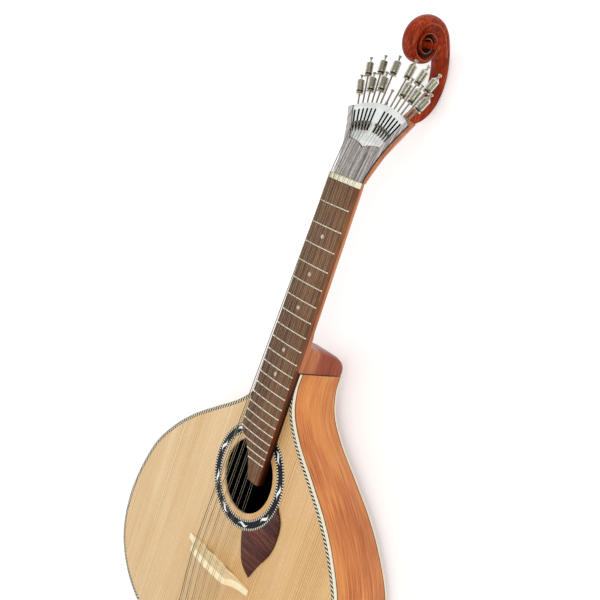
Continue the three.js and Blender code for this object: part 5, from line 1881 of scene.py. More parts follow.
@dataclass
class Head:
    """The veneer round the fan plate, in the plane of the head."""

    neck: Neck
    rise: float = 0.6
    thickness: float = 2.0
    start: float = 6.1
    step: float = 1.5
    lobe: Pair = (0.34, 0.89)
    corner: float = 51.9
    cusp: float = 41.0
    fan_half: float = 26.9
    joint: float = 0.12
    joint_radius: float = 58.7
    line: float = 0.8
    line_rise: float = 0.03

    def lobes(self, margin: float, half: float) -> np.ndarray:
        """The plate's lobed edge toward the nut, from the treble corner to the bass one.

        Args:
            margin: how far the edge is moved toward the nut.
            half: the angle of the corners.

        Returns:
            The line.
        """
        right, left = fan_place(self.corner - margin, half), fan_place(self.corner - margin, -half)
        cusp = (0.0, self.cusp - margin)
        reach = self.lobe[0] * self.corner * math.sin(math.radians(self.fan_half))
        high = self.lobe[1] * self.corner
        bass = quadratic(cusp, (-reach, high), left, 20)[1:]
        return np.array([*quadratic(right, (reach, high), cusp, 20), *bass])

    def build(self) -> None:
        """Builds the veneer: the head's outline less the plate."""
        neck = self.neck
        half = self.fan_half + math.degrees(self.joint / self.joint_radius)
        along = self.start
        side = []
        while math.hypot(neck.head_half(along), along) < neck.rim:
            side.append((neck.head_half(along), along))
            along += self.step
        turn = math.degrees(math.atan2(side[-1][0], side[-1][1]))
        right = [*side, *fan_arc(neck.rim, turn, half, 6)]
        left = [(-x, y) for x, y in reversed(right)]
        far, near = self.lobes(self.joint + self.line, half), self.lobes(self.joint, half)
        low = self.rise - self.thickness
        shape = Shape().slab(np.array([*right, *far, *left]), self.rise, low, side_zone=1)
        shape.slab(np.array([*far, *near[::-1]]), self.rise + self.line_rise, low, zone=1)
        finishes = [FINISH.veneer, FINISH.black_line]
        WORKSHOP.make("head_face", shape.moved(HEAD), finishes, Slot.VENEER, ["head_veneer"], bevel=0.15)


@dataclass
class FanTuner:
    """The slotted plate, its tray, the twelve screws with their knobs, and the hooks."""

    head: Head
    plate_top: float = -0.2
    plate: float = 1.2
    first_slot: float = 4.9
    slot_step: float = 4.02
    slot_inner: float = 58.7
    slot_outer: float = 83.6
    slot_width: float = 2.5
    tray_inner: float = 54.5
    tray_top: float = -1.7
    tray_depth: float = 6.9
    tray_floor: float = 1.0
    tray_margin: float = 0.1
    bar: float = 3.7
    screw_radius: float = 0.95
    thread_pitch: float = 0.7
    thread_depth: float = 0.12
    thread_end: float = 2.0
    hook_at: float = 67.5
    hook_half: float = 0.62
    block_half: float = 1.7
    short_knob: float = 103.0
    long_knob: float = 121.6
    knob_radius: float = 4.3
    groove_depth: float = 1.0
    knurl: float = 0.1
    knob_sides: int = 72
    rod_sides: int = 24
    grip_start: float = 4.1
    grip: float = 11.4
    grip_ribs: int = 5
    finial: float = 18.8
    flange_depths: tuple = ((2.1, 0.0), (0.5, 0.1), (0.0, 0.45), (0.0, 1.7), (0.5, 2.1))
    neck_depths: tuple = ((1.0, 2.3), (1.0, 3.3), (0.4, 3.5), (0.0, 4.0))
    rib_depths: tuple = ((0.0, -0.25), (0.3, -0.1), (0.3, 0.1), (0.0, 0.25))
    cone_depths: tuple = (
        (0.0, 0.0), (0.5, 0.5), (1.4, 1.1), (2.2, 2.0), (3.0, 2.9), (3.15, 3.3), (3.15, 5.2), (2.6, 5.5),
        (2.3, 6.1), (2.3, 6.8), (2.8, 7.3),
    )
    cone: float = 7.5
    finial_foot: tuple = (
        (3.0, 0.0), (3.0, 0.7), (2.4, 1.1), (1.8, 2.0), (1.5, 3.2), (1.75, 3.7), (1.75, 4.4), (0.95, 4.9),
    )
    finial_bell: tuple = ((0.9, 4.0), (1.1, 2.6), (1.7, 1.3), (1.7, 0.8), (1.2, 0.3), (AXIS_RADIUS, 0.0))
    beak: tuple = ((0.9, 2.0), (0.9, 2.7), (0.5, 3.0), (-1.2, 3.0), (-2.2, 2.75), (-2.5, 2.3), (-2.3, 2.0))

    def __post_init__(self) -> None:
        """Takes over the radius of the head's rim."""
        self.rim = self.head.neck.rim

    def degrees(self, index: int) -> float:
        """The angle of a tuning line from the middle."""
        side = -1 if index < COURSES else 1
        return side * (self.first_slot + self.slot_step * self.from_middle(index))

    def from_middle(self, index: int) -> int:
        """How many lines lie between this one and the middle."""
        return COURSES - 1 - index if index < COURSES else index - COURSES

    def line(self, index: int) -> Matrix:
        """The frame of one tuning line: y runs along it."""
        return HEAD @ Matrix.Rotation(-math.radians(self.degrees(index)), 4, "Z")

    def slot_outline(self, index: int) -> np.ndarray:
        """One slot with round ends.

        Args:
            index: its number, from the bass side.

        Returns:
            Its outline in the plane of the head.
        """
        half = self.slot_width / 2
        turns = np.linspace(0, math.pi, 9)
        upper = [(half * math.cos(t), self.slot_outer - half + half * math.sin(t)) for t in turns]
        lower = [(-half * math.cos(t), self.slot_inner + half - half * math.sin(t)) for t in turns]
        angle = -math.radians(self.degrees(index))
        turn = np.array([[math.cos(angle), -math.sin(angle)], [math.sin(angle), math.cos(angle)]])
        return np.array([*upper, *lower]) @ turn.T

    def build_plate(self) -> None:
        """The plate with its lobes and twelve slots."""
        half = self.head.fan_half
        outline = np.array([*fan_arc(self.rim, -half, half, 64), *self.head.lobes(0.0, half)])
        slots = [self.slot_outline(i) for i in range(STRINGS)]
        shape = Shape().slab(outline, self.plate_top, self.plate_top - self.plate, slots, low_zone=1)
        # The slot walls and the underside take painted shade.
        walls = sum(len(slot) for slot in slots)
        shape.zones[-walls:] = [1] * walls
        finishes = [FINISH.plate, FINISH.slot_shade]
        WORKSHOP.make("fan_face", shape.moved(HEAD), finishes, Slot.PLATE, ["fan_plate"], bevel=0.12)

    def build_tray(self) -> None:
        """The two bearing bars on their floor, and the fixed finial in the middle."""
        half, inner, outer = self.head.fan_half, self.tray_inner, self.rim - self.tray_margin
        floor = self.tray_floor - self.tray_depth
        outline = fan_sector(inner, outer, half)
        # The floor's upper face and the inner bar take painted shade.
        shape = Shape().slab(outline, floor, -self.tray_depth, zone=1, side_zone=0, low_zone=0)
        shape.slab(fan_sector(inner, inner + self.bar, half), self.tray_top, floor, zone=1)
        shape.slab(fan_sector(self.rim - self.bar, outer, half), self.tray_top, floor)
        shape = shape.moved(HEAD)
        foot = self.rim - 0.4
        profile = [(AXIS_RADIUS, foot), *[(r, foot + a) for r, a in self.finial_foot]]
        profile += [(r, foot + self.finial - a) for r, a in self.finial_bell]
        shape.joined(Shape().turned(profile, 28, zone=2).moved(HEAD @ SCREWS))
        finishes = [FINISH.nickel, FINISH.slot_shade, FINISH.rod]
        WORKSHOP.make("fan_tray", shape, finishes, Slot.NICKEL, ["fan_frame"], bevel=0.15)

    def rod_profile(self, end: float) -> Plan:
        """Radius and place along the threaded rod.

        Args:
            end: where it ends, inside the knob.

        Returns:
            The profile.
        """
        low, start = self.screw_radius - self.thread_depth, self.tray_inner + 1.2
        profile = [(AXIS_RADIUS, start - 0.4), (low, start - 0.4)]
        for along in np.arange(start, self.rim + self.thread_end, self.thread_pitch):
            profile += [(low, along), (self.screw_radius, along + self.thread_pitch / 2)]
        stem = [self.rim + self.thread_end + 1.0, end]
        return [*profile, *[(self.screw_radius, along) for along in stem], (AXIS_RADIUS, end)]

    def knob_profile(self, start: float) -> Plan:
        """Radius and place along a knob: flange, groove, ribbed grip, cone, neck and bead.

        Args:
            start: where the knob starts.

        Returns:
            The profile.
        """
        cuts = [*self.flange_depths, *self.neck_depths]
        for k in range(1, self.grip_ribs):
            middle = self.grip_start + k * self.grip / self.grip_ribs
            cuts += [(cut, middle + along) for cut, along in self.rib_depths]
        cone = self.grip_start + self.grip
        cuts += [(cut, cone + along) for cut, along in self.cone_depths]
        knob = [(self.knob_radius - cut, start + along) for cut, along in cuts]
        return [(AXIS_RADIUS, start), *knob, (AXIS_RADIUS, start + cone + self.cone)]

    def flutes(self, radius: float, number: int) -> float:
        """Fine straight knurls on the widest part of a knob."""
        return radius - self.knurl if radius == self.knob_radius and number % 3 == 0 else radius

    def build_screws(self) -> None:
        """The twelve screws, long and short by turns, each riding on its own body."""
        finishes = [FINISH.nickel, FINISH.groove, FINISH.rod]
        sides = self.knob_sides
        for index in range(STRINGS):
            start = self.short_knob if self.from_middle(index) % 2 else self.long_knob
            profile = self.knob_profile(start)
            shape = Shape().turned(profile, sides, flutes=self.flutes)
            # The groove's faces take the dark groove finish: painted shade.
            for step, ((a, _), (b, _)) in enumerate(zip(profile, profile[1:])):
                if min(a, b) == self.knob_radius - self.groove_depth:
                    shape.zones[step * sides : (step + 1) * sides] = [1] * sides
            shape.joined(Shape().turned(self.rod_profile(start + 1.0), self.rod_sides, zone=2))
            name, number = f"screw_{index + 1}", index + 1
            shape = shape.moved(self.line(index) @ SCREWS)
            WORKSHOP.make(f"{name}_turned", shape, finishes, Slot.NICKEL, [f"tuning_screw_{number}"], name)

    def hook(self) -> Shape:
        """One hook: a block on the screw, a stem through the slot and a beak over the loop.

        Returns:
            The shape.
        """
        shape = Shape()
        depth, wide, slim = PLACE.screw_depth, self.block_half, self.hook_half
        for x, reach, low, high in ((wide, 2.0, -1.75 - depth, 1.75 - depth), (slim, 0.9, 1.5 - depth, 2.4)):
            shape.slab(np.array([(-x, -reach), (x, -reach), (x, reach), (-x, reach)]), high, low)
        return shape.loft([[(x, y, z) for y, z in self.beak] for x in (-slim, slim)])

    def build_hooks(self) -> None:
        """The twelve hooks, each riding on its own body."""
        for index in range(STRINGS):
            shape = self.hook().moved(self.line(index) @ Matrix.Translation((0, self.hook_at, 0)))
            name, solid = f"hook_{index + 1}", f"string_hook_{index + 1}"
            WORKSHOP.make(f"{name}_beak", shape, [FINISH.hook_metal], Slot.NICKEL, [solid], name, bevel=0.15)

    def build(self) -> None:
        """Builds the whole tuner."""
        self.build_plate()
        self.build_tray()
        self.build_screws()
        self.build_hooks()


@dataclass
class Scroll:
    """The carved volute on its stem, behind the fan: a domed band with a raised ridge on both sides."""

    neck: Neck
    middle: Pair = (159.4, -44.8)
    ridge: float = 26.0
    decay: float = 0.547
    turns: float = 2.35
    start_half: float = 10.7
    loss: float = 1.5
    dome: float = 12.2
    dome_decay: float = 0.227
    dome_most: float = 9.5
    dome_steps: int = 9
    sink: float = 5.2
    lip: float = 0.55
    ridge_inset: float = 0.25
    open_turns: float = 1.3
    face_steps: int = 8
    peg_radius: float = 2.9
    peg_reach: float = 24.6
    peg_sides: int = 36
    peg_shares: tuple = ((0.55, 0.2), (0.9, 0.8), (1.0, 1.8), (0.92, 5.0), (0.98, 11.0))
    floor_radius: float = 7.2
    floor_half: float = 1.6
    stem: float = 13.0
    stem_gain: float = 3.0
    stem_corner: float = 4.2
    stem_steps: int = 44
    foot_dome: float = 0.9
    knee: Pair = (14.0, 30.0)
    reach: float = 44.0
    join_share: float = 0.086
    per_turn: int = 88

    def ridge_at(self, turns: float) -> float:
        """The radius of the ridges after some turns."""
        return self.ridge * self.decay**turns

    def half(self, turns: float) -> float:
        """Half of the volute's width after some turns."""
        return self.start_half - self.loss * turns

    def dome_at(self, turns: float) -> float:
        """How far the crown stands out over the ridges."""
        return min(self.dome * self.dome_decay**turns, self.dome_most)

    def crest(self, turns: float) -> np.ndarray:
        """The crest after some turns round the volute's middle, from the lowest place outward."""
        angle, radius = 2 * math.pi * turns - math.pi / 2, self.ridge_at(turns) + self.dome_at(turns)
        return np.array(self.middle) + radius * np.array((math.cos(angle), math.sin(angle)))

    def crown(self, half: float, rise: float, fullness: float) -> list[Pair]:
        """The right half of the domed rim, as places across and down from its crest.

        Args:
            half: half of its width.
            rise: how far the crest stands over the ridge.
            fullness: how square the dome is; 2 is an ellipse.

        Returns:
            The places, from the crest to the ridge.
        """
        power = 2 / fullness
        turns = np.linspace(0, math.pi / 2, self.dome_steps)
        return [(half * math.sin(a) ** power, rise * (1 - max(math.cos(a), 0.0) ** power)) for a in turns]

    def volute_side(self, turns: float) -> list[Pair]:
        """The volute's right side at a turn: the domed rim, the ridge and the sunk face.

        Args:
            turns: how far round it is.

        Returns:
            Places across and down from the crest.
        """
        half, rise, ridge = self.half(turns), self.dome_at(turns), self.ridge_at(turns)
        side = self.crown(half, rise, 2.0 + 0.6 * max(0.0, 1 - 4 * turns))
        inner = self.ridge_at(turns + 1) + 0.5 * self.dome_at(turns + 1)
        if turns > self.open_turns:
            inner = max(inner - 6 * (turns - self.open_turns), 1.5)
        sink = min(self.sink + max(0.0, turns - 1.2) * 3.0, half - 1.0)
        edge, lip = half - self.ridge_inset, rise + self.lip
        for share in np.linspace(0, 1, self.face_steps):
            down = lip + (ridge - inner - self.lip) * share
            side.append((edge - sink * (1 - (1 - share) ** 1.7), down))
        return side

    def stem_side(self, half: float, rise: float, depth: float) -> list[Pair]:
        """The stem's right side: the crowned back, the flat flank and the rounded front corner.

        Args:
            half: half of its width.
            rise: how far the crest stands over the ridge.
            depth: from the crest to the front.

        Returns:
            Places across and down from the crest.
        """
        corner = self.stem_corner
        turns = np.linspace(0, math.pi / 2, self.face_steps - 1)
        front = [(half - corner * (1 - math.cos(t)), depth - corner * (1 - math.sin(t))) for t in turns]
        return [*self.crown(half, rise, 2.3), (half, (rise + depth - corner) / 2), *front]

    def ring(self, side: Sequence[Pair], crest: np.ndarray, inward: np.ndarray) -> list:
        """A whole section from its right side, its crest and the way in from the crest."""
        both = [*side[::-1], *[(-x, down) for x, down in side[1:]]]
        return [(x, *(crest + inward * down)) for x, down in both]

    def stem_line(self) -> tuple[np.ndarray, np.ndarray]:
        """The crest of the stem, from the head's end into the volute.

        Returns:
            Its places and the way in from each.
        """
        tilt = math.radians(PLACE.head_tilt)
        drop, rim = self.neck.keel_drop, self.neck.rim
        down = (drop - PLACE.head_drop - rim * math.sin(tilt)) / math.cos(tilt)
        foot = np.array([rim * math.cos(tilt) - down * math.sin(tilt) + self.neck.body.glue, -drop])
        last, beyond = self.crest(self.join_share), self.crest(self.join_share + 0.01)
        ahead = (beyond - last) / np.linalg.norm(beyond - last)
        control = [foot, foot + (self.knee[0], -self.knee[1]), last - ahead * self.reach, last]
        t = np.linspace(0, 1, self.stem_steps + 1)[:, None]
        weights = ((1 - t) ** 3, 3 * t * (1 - t) ** 2, 3 * t**2 * (1 - t), t**3)
        line = sum(w * c for w, c in zip(weights, control))
        along = unit_rows(np.gradient(line, axis=0))
        inward = np.stack([-along[:, 1], along[:, 0]], axis=1)
        inward[0] = (math.sin(tilt), math.cos(tilt))
        return line, inward

    def stem_rings(self) -> list:
        """The sections of the stem, which grow into the volute's own.

        Returns:
            The sections.
        """
        last, start = self.volute_side(self.join_share), self.neck.keel_half
        crests, inward = self.stem_line()
        rings = []
        for k, (crest, way) in enumerate(zip(crests[:-1], inward)):
            share = k / self.stem_steps
            half = start + (self.half(self.join_share) - start) * share**1.4
            rise = self.foot_dome + (self.dome_most - self.foot_dome) * share**2.2
            plain = self.stem_side(half, rise, self.stem + self.stem_gain * share**2)
            mix = eased(share, (0.72, 1.0), (0.0, 1.0))
            side = [(a + (c - a) * mix, b + (d - b) * mix) for (a, b), (c, d) in zip(plain, last)]
            rings.append(self.ring(side, crest, way))
        return rings

    def carving(self) -> Shape:
        """Stem and volute as one skin.

        Returns:
            The shape.
        """
        rings = self.stem_rings()
        count = round((self.turns - self.join_share) * self.per_turn)
        for turns in np.linspace(self.join_share, self.turns, count + 1):
            crest = self.crest(turns)
            way = np.array(self.middle) - crest
            rings.append(self.ring(self.volute_side(turns), crest, way / np.linalg.norm(way)))
        shape = Shape().loft(rings)
        size = len(rings[0])
        for number in range((len(rings) - 1) * size):
            row, column = divmod(number, size)
            turns = self.join_share + (row - self.stem_steps) / self.per_turn
            depth = self.face_steps - min(column, size - 2 - column)
            # Painted highlight: the narrow lip along each ridge gets the pale ridge finish.
            if depth == 1 and turns > 0.0:
                shape.zones[number] = 2
            # Painted shade: the sunk faces deep in the turns get the near-black finish.
            elif turns > 1.2 and depth > 1 or turns > 0.55 and depth > 3:
                shape.zones[number] = 1
        return shape

    def peg(self) -> Shape:
        """The eye: a slim round peg that stands out on both sides of the floor that closes the last turn.

        Returns:
            The shape.
        """
        tip, wide, sides = self.peg_reach, self.peg_radius, self.peg_sides
        profile = [(AXIS_RADIUS, -tip), *[(share * wide, along - tip) for share, along in self.peg_shares]]
        profile.append((1.3 * wide, 4.5 - self.half(self.turns)))
        floor = (len(profile) - 1) * sides
        profile.append((self.floor_radius, -self.floor_half))
        profile += [(r, -a) for r, a in reversed(profile)]
        turned = Shape().turned(profile, sides)
        # Painted shade on the floor round the peg, deep in the last turn.
        turned.zones[floor : floor + 3 * sides] = [1] * 3 * sides
        return turned.moved(Matrix.Translation((0, *self.middle)) @ Matrix.Rotation(-math.pi / 2, 4, "Z"))

    def build(self) -> None:
        """Builds the scroll as one carved piece."""
        finishes = [FINISH.scroll, FINISH.scroll_painted_shade, FINISH.scroll_ridge_highlight]
        cuts = [("UNION", self.peg())]
        WORKSHOP.make("scroll_carving", self.carving(), finishes, Slot.SCROLL_WOOD, ["scroll"], cuts=cuts)


# Strings and what they bear on


@dataclass
class StringBearers:
    """The nut, the bridge, the tail saddle and the tailpiece."""

    body: Body
    board: Fingerboard
    nut_rise: float = 0.9
    nut_course: float = 7.4
    nut_pair: float = 2.6
    nut_notch: float = 0.25
    nut_section: tuple = ((0.05, -0.7), (0.5, -0.1), (1.6, 0.0), (4.2, -0.15), (5.6, -0.9), (6.0, -1.7))
    bridge_course: float = 11.2
    bridge_pair: float = 3.0
    bridge_at: float = -448.0
    bridge_half: float = 59.0
    bridge_thickness: float = 9.6
    bridge_top: float = 8.7
    bridge_crown: float = 240.0
    bridge_crown_half: float = 34.0
    bridge_tip: float = 3.2
    bridge_notch: float = 0.35
    scallop: float = 13.0
    arch: float = 2.2
    seat_gap: float = 0.3
    saddle_half: float = 34.0
    saddle_width: float = 4.5
    saddle_height: float = 4.2
    tailpiece_half: float = 36.0
    tailpiece_thickness: float = 1.5
    tailpiece_top: float = -13.0
    tailpiece_height: float = 24.0
    tail_half: float = 60.0
    pin_radius: float = 1.2
    pin_head: float = 1.7
    pin_round: float = 0.2
    pin_length: float = 4.6
    first_pin: float = -20.0
    pin_step: float = 8.0

    def offset(self, index: int, course: float, pair: float) -> float:
        """How far a string lies from the middle."""
        side = -1 if index % 2 == 0 else 1
        return (index // 2 - (COURSES - 1) / 2) * course + side * pair / 2

    def nut_x(self, index: int) -> float:
        """x of a string at the nut."""
        return self.offset(index, self.nut_course, self.nut_pair)

    def bridge_x(self, index: int) -> float:
        """x of a string from the bridge to the tail."""
        return self.offset(index, self.bridge_course, self.bridge_pair)

    def nut_height(self, x: float) -> float:
        """Height of the nut's crown."""
        return self.board.camber_at(x, self.board.nut_width / 2) + self.nut_rise

    def bridge_height(self, x: float) -> float:
        """Height of the bridge's crown."""
        return self.bridge_top - x**2 / (2 * self.bridge_crown)

    @staticmethod
    def notched(
        xs: Sequence[float], notches: Sequence[float], foot: float, lip: float,
    ) -> list[tuple[float, bool]]:
        """Places along a bearer, with more of them round its notches.

        Args:
            xs: the plain places.
            notches: the middle of each notch.
            foot: half of the width of a notch's floor.
            lip: half of the width of its mouth.

        Returns:
            The places, rising, and whether each lies in a notch.
        """
        every = sorted({*xs, *[x + d for x in notches for d in (-lip, -foot, foot, lip)]})
        return [(x, any(abs(x - c) < (foot + lip) / 2 for c in notches)) for x in every]

    def build_nut(self) -> None:
        """The nut with a notch for each string."""
        half, low = self.board.nut_width / 2, -self.board.thickness
        cuts = [self.nut_x(i) for i in range(STRINGS)]
        rings = []
        for x, sunk in self.notched(np.linspace(-half, half, 9), cuts, 0.25, 0.4):
            top = self.nut_height(x) - (self.nut_notch if sunk else 0.0)
            section = [(y, top + z) for y, z in self.nut_section]
            rings.append([(x, y, z) for y, z in [(section[0][0], low), *section, (section[-1][0], low)]])
        WORKSHOP.make("nut_bone", Shape().loft(rings), [FINISH.bone], Slot.BONE, ["nut"])

    def bridge_outline(self) -> np.ndarray:
        """The bridge seen from the tail.

        Returns:
            Places across and up.
        """
        foot = self.body.top + self.body.glue
        span, tip, crown = self.bridge_half / 3, foot + self.bridge_tip, self.bridge_crown_half
        points = [(-self.bridge_half, foot)]
        for middle in (-span, span):
            left, right = (middle - span / 2, foot), (middle + span / 2, foot)
            points += list(quadratic(left, (middle, foot + 2 * self.arch), right, 14))
        end, bend = (self.bridge_half, tip * 0.5 + foot * 0.5), (crown + self.bridge_tip, tip)
        slope = quadratic(end, bend, (crown, self.bridge_height(crown)), 14)
        points += [(self.bridge_half, foot), *slope]
        notches = [self.bridge_x(i) for i in range(STRINGS)]
        for x, sunk in reversed(self.notched(np.linspace(-crown, crown, 33)[:-1], notches, 0.35, 0.7)):
            points.append((x, self.bridge_height(x) - (self.bridge_notch if sunk else 0.0)))
        return np.array([*points, *[(-x, z) for x, z in slope[::-1]][1:]])

    def bridge_reach(self, x: float, z: float) -> float:
        """Half of the bridge's thickness: wavy along it, slimmer toward its crown and its ends."""
        share = max((z - self.body.top) / (self.bridge_top - self.body.top), 0.0)
        wave = 0.06 * math.cos(2 * math.pi * x / self.scallop) * share
        return self.bridge_thickness / 2 * (1 - 0.2 * share - 0.3 * abs(x / self.bridge_half) ** 3 + wave)

    def build_bridge(self) -> None:
        """The loose bridge with three feet, thinner toward its crown."""
        shape = Shape().slab(self.bridge_outline(), lambda x, z: -self.bridge_reach(x, z), self.bridge_reach)
        shape.points = [(x, self.bridge_at + y, z) for x, z, y in shape.points]
        shape.places = list(shape.points)
        WORKSHOP.make("bridge_bone", shape, [FINISH.bridge], Slot.BONE, ["bridge"], bevel=0.55)

    def tail_range(self, half: float) -> tuple[int, int]:
        """The outline's steps that lie within a half width at the tail."""
        found = [i for i, (x, y) in enumerate(self.body.edge) if abs(x) <= half and y < self.body.hole_at]
        return found[0], found[-1] + 1

    def tail_y(self, x: float) -> float:
        """Where the outer edge lies at the tail."""
        piece = self.body.edge[slice(*self.tail_range(self.tail_half))]
        return float(np.interp(x, piece[::-1, 0], piece[::-1, 1]))

    def build_tail_saddle(self) -> None:
        """The bone strip on the edge of the soundboard."""
        near, high = self.seat_gap, self.body.top + self.seat_gap + self.saddle_height
        low, far = self.body.top + self.body.glue, near + self.saddle_width
        profile = [(near, low), (near, high - 0.8), (near + 0.8, high)]
        profile += [(far - 1.2, high), (far, high - 1.4), (far, low)]
        shape = self.body.strip(profile, *self.tail_range(self.saddle_half))
        WORKSHOP.make("tail_saddle_bone", shape, [FINISH.bone], Slot.BONE, ["tail_saddle"], bevel=0.35)

    def build_tailpiece(self) -> None:
        """The plate on the tail with its string pins."""
        top, low = self.tailpiece_top, self.tailpiece_top - self.tailpiece_height
        near = -self.body.glue
        far = near - self.tailpiece_thickness
        profile = [(near, low), (near, top), (far, top), (far, low)]
        shape = self.body.strip(profile, *self.tail_range(self.tailpiece_half))
        shape.places = list(shape.points)
        WORKSHOP.make("tailpiece_plate", shape, [FINISH.nickel], Slot.NICKEL, ["tailpiece"], bevel=0.4)
        pins = Shape()
        for index in range(STRINGS):
            pins.joined(self.pin(index))
        WORKSHOP.make("tailpiece_pins", pins, [FINISH.nickel], Slot.NICKEL)

    def pin_z(self, index: int) -> float:
        """Height of a string's pin."""
        return self.first_pin - (index % 2) * self.pin_step

    def pin(self, index: int) -> Shape:
        """One pin with a round head.

        Args:
            index: the number of its string.

        Returns:
            The shape.
        """
        x, neck = self.bridge_x(index), self.tailpiece_thickness + self.pin_length
        stem, head = self.pin_radius, self.pin_head
        edge = head - self.pin_round
        profile = [(AXIS_RADIUS, 0.5), (stem, 0.5), (stem, neck - 0.3), (edge, neck), (head, neck + 0.4)]
        profile += [(edge, neck + 0.9), (AXIS_RADIUS, neck + 1.2)]
        place = Matrix.Translation((x, self.tail_y(x) - self.seat_gap, self.pin_z(index)))
        return Shape().turned(profile, 24).moved(place @ Matrix.Rotation(math.pi, 4, "X"))

    def build(self) -> None:
        """Builds everything that the strings bear on."""
        self.build_nut()
        self.build_bridge()
        self.build_tail_saddle()
        self.build_tailpiece()


@dataclass
class Strings:
    """Twelve taut strings, each stretching to its hook."""

    bearers: StringBearers
    tuner: FanTuner
    diameters: tuple = (0.98, 0.6, 0.8, 0.46, 0.62, 0.36, 0.4, 0.4, 0.33, 0.33, 0.3, 0.3)
    wound: tuple = (0, 1, 2, 4)
    clearance: float = 0.05
    hook_rise: float = 1.1
    stem_reach: float = 0.9
    longest_step: float = 12.0
    twist_start: float = 1.6
    twist_length: float = 7.0
    twist_turns: int = 7
    twist_steps: int = 90
    twist_radius: float = 0.2
    loop_half: Pair = (1.15, 1.3)
    loop_end: float = -2.4
    stretch_share: float = 0.96
    sides: int = 10

    def hook_end(self, index: int) -> np.ndarray:
        """Where the string's loop meets the stem of its hook."""
        x, y = fan_place(self.tuner.hook_at - self.stem_reach, self.tuner.degrees(index))
        return np.array(HEAD @ Vector((x, y, self.hook_rise)))

    def route(self, index: int) -> np.ndarray:
        """The string's middle line from its hook to its pin.

        Args:
            index: the string's number, from the bass side.

        Returns:
            The points.
        """
        held, radius = self.bearers, self.diameters[index] / 2
        nut_x, x, lift = held.nut_x(index), held.bridge_x(index), radius + self.clearance
        nut_z, bridge_z = held.nut_height(nut_x) + lift - 0.2, held.bridge_height(x) + lift
        saddle_z = held.body.top + held.seat_gap + held.saddle_height + lift
        tail = held.tail_y(x)
        out = tail - held.tailpiece_thickness - held.seat_gap - held.pin_length / 2
        half = held.bridge_thickness / 3.2
        stops = [
            self.hook_end(index),
            (nut_x, held.board.nut_length - 2.0, nut_z),
            (nut_x, 1.0, nut_z),
            (x, held.bridge_at + half, bridge_z),
            (x, held.bridge_at - half, bridge_z),
            (x, tail + held.saddle_width, saddle_z),
            (x, tail + 0.9, saddle_z - 0.2),
            (x, out + 0.6, saddle_z - 2.4),
            (x, out, saddle_z - 4.5),
            (x, out, held.pin_z(index) + held.pin_radius + radius),
        ]
        points = [np.array(stops[0], float)]
        for a, b in zip(stops, stops[1:]):
            a, b = np.array(a, float), np.array(b, float)
            count = max(2, int(np.linalg.norm(b - a) / self.longest_step))
            points += [a + (b - a) * k / count for k in range(1, count + 1)]
        return np.array(points)

    def twist(self, index: int) -> Shape:
        """The loop's end wound round the string beside the hook.

        Args:
            index: the string's number.

        Returns:
            The shape.
        """
        start, after = self.route(index)[:2]
        toward = (after - start) / np.linalg.norm(after - start)
        side = np.cross(toward, (0.0, 0.0, 1.0))
        side /= np.linalg.norm(side)
        up = np.cross(side, toward)
        reach = self.diameters[index] / 4 + 0.3
        points = []
        for share in np.linspace(0, 1, self.twist_steps + 1):
            turn = 2 * math.pi * self.twist_turns * share
            along = start + toward * (self.twist_start + self.twist_length * share)
            points.append(along + reach * (math.cos(turn) * side + math.sin(turn) * up))
        return Shape().bar(points, self.twist_radius, 6)

    def loop(self, index: int) -> Shape:
        """The loop round the hook's stem.

        Args:
            index: the string's number.

        Returns:
            The shape.
        """
        matrix = self.tuner.line(index) @ Matrix.Translation((0, self.tuner.hook_at, self.hook_rise))
        wide, long = self.loop_half
        turns = np.linspace(-0.75 * math.pi, 0.75 * math.pi, 20)
        joint = Vector((0.0, self.loop_end, 0))
        ring = [joint, *[Vector((wide * math.sin(t), 0.2 + long * math.cos(t), 0)) for t in turns], joint]
        return Shape().bar([tuple(matrix @ p) for p in ring], self.diameters[index] / 3 + 0.08, 8)

    def build(self) -> None:
        """Builds the strings, each with its twist and its loop."""
        held = self.bearers
        for index, diameter in enumerate(self.diameters):
            shape = Shape().bar(self.route(index), diameter / 2, self.sides)
            shape.joined(self.twist(index)).joined(self.loop(index))
            wound = index in self.wound
            finish, slot = (FINISH.wound_wire, Slot.WOUND) if wound else (FINISH.plain_wire, Slot.STEEL)
            number = index + 1
            nodes = [f"string_{number}"]
            piece = WORKSHOP.make(f"string_{number}_wire", shape, [finish], slot, nodes, body=None)
            nut = (held.nut_x(index), held.board.nut_length, held.nut_height(0))
            near = Vector(nut) + (Vector(self.hook_end(index)) - Vector(nut)) * self.stretch_share
            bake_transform(piece)


# The studio


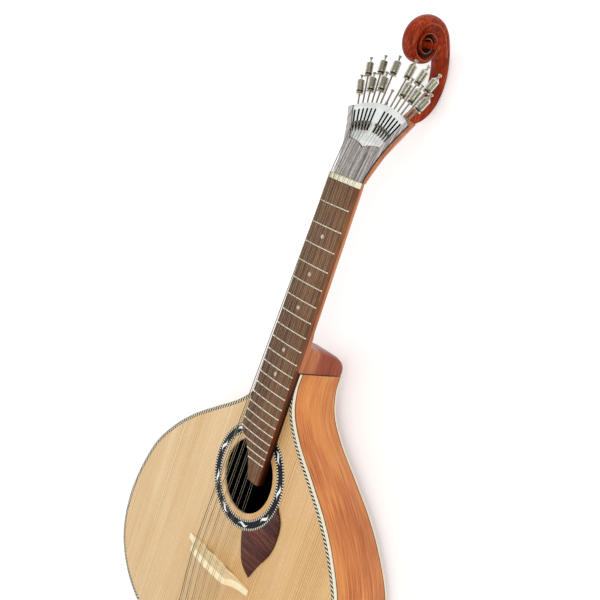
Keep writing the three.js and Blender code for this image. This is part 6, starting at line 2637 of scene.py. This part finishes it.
@dataclass
class Studio:
    """Floor, light and camera."""

    lens: float = 53.52
    sensor: float = 36.0
    camera_at: tuple = (672.0, 49.0, 635.5)
    aim: tuple = (48.2, -112.2, 0.0)
    up: tuple = (-0.353, 0.929, 0.111)
    shift: float = -0.0602
    floor_size: float = 30.0
    ambient: float = 0.6
    lamps: tuple = (
        ("key", (1.5, 0.3, 1.6), (0.0, 0.0, 0.05), 1.4, 19.5),
        ("fill", (-1.6, -0.6, 1.5), (0.0, -0.1, 0.05), 1.8, 9.0),
        ("head", (0.2, 1.9, 1.0), (0.0, 0.3, 0.05), 1.0, 6.0),
    )

    def build_floor(self) -> None:
        """A plain pale floor under the instrument."""
        half = self.floor_size / 2
        mesh = bpy.data.meshes.new("floor")
        corners = [(-half, -half, 0), (half, -half, 0), (half, half, 0), (-half, half, 0)]
        mesh.from_pydata(corners, [], [(0, 1, 2, 3)])
        mesh.materials.append(FloorFinish("studio floor").material())
        floor = bpy.data.objects.new("floor", mesh)
        bpy.context.scene.collection.objects.link(floor)
        floor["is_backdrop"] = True

    def build_world(self) -> None:
        """An even room light, seen as white."""
        world = bpy.data.worlds.new("studio")
        world.use_nodes = True
        world.node_tree.nodes.clear()
        sheet = NodeSheet(world.node_tree)
        strength = sheet.between(sheet.white_rays(), self.ambient, 1.0)
        ground = sheet.node("ShaderNodeBackground", {"Color": (1, 1, 1, 1), "Strength": strength})
        sheet.node("ShaderNodeOutputWorld", {0: ground.outputs[0]})
        bpy.context.scene.world = world

    def build_lamp(self, name: str, place: tuple, toward: tuple, size: float, power: float) -> None:
        """A soft square lamp.

        Args:
            name: its name.
            place: where it hangs, in metres.
            toward: what it faces, in metres.
            size: its side, in metres.
            power: its power, in watts.
        """
        light = bpy.data.lights.new(name, "AREA")
        light.shape = "SQUARE"
        light.size = size
        light.energy = power
        lamp = bpy.data.objects.new(name, light)
        lamp.location = place
        lamp.rotation_mode = "QUATERNION"
        lamp.rotation_quaternion = (Vector(toward) - Vector(place)).to_track_quat("-Z", "Y")
        bpy.context.scene.collection.objects.link(lamp)

    def build_camera(self) -> None:
        """The camera at the photograph's angle."""
        lens = bpy.data.cameras.new("camera")
        lens.lens = self.lens
        lens.sensor_width = self.sensor
        lens.shift_x = self.shift
        lens.clip_start = 0.01
        lens.clip_end = 100.0
        camera = bpy.data.objects.new("camera", lens)
        place = BENCH @ Vector(self.camera_at)
        back = (place - BENCH @ Vector(self.aim)).normalized()
        right = (BENCH.to_3x3() @ Vector(self.up)).normalized().cross(back).normalized()
        turn = Matrix((right, back.cross(right), back)).transposed().to_4x4()
        camera.matrix_world = Matrix.Translation(place) @ turn
        bpy.context.scene.collection.objects.link(camera)
        bpy.context.scene.camera = camera

    def build(self) -> None:
        """Sets up the studio, with a large key lamp above the treble side."""
        bpy.context.scene.view_settings.view_transform = "Standard"
        self.build_camera()
        self.build_world()
        for lamp in self.lamps:
            self.build_lamp(*lamp)
        self.build_floor()


def plain(box: tuple[Vector, Vector]) -> list[list[float]]:
    """A box as plain lists of numbers."""
    return [[float(value) for value in corner] for corner in box]


def main() -> None:
    """Builds the guitar, sub-assembly by sub-assembly."""
    logging.basicConfig(level=logging.INFO, format="%(message)s")
    Studio().build()
    board = Fingerboard()
    body = Body(board)
    neck = Neck(body, board)
    head = Head(neck)
    tuner = FanTuner(head)
    bearers = StringBearers(body, board)
    pieces = (body, Rosette(body), FingerPlate(body), board, neck, head, tuner, Scroll(neck), bearers)
    for piece in (*pieces, Strings(bearers, tuner)):
        piece.build()
    {"cad": plain(CAD_BOX), "visual": plain(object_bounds())}


if __name__ == "__main__":
    main()
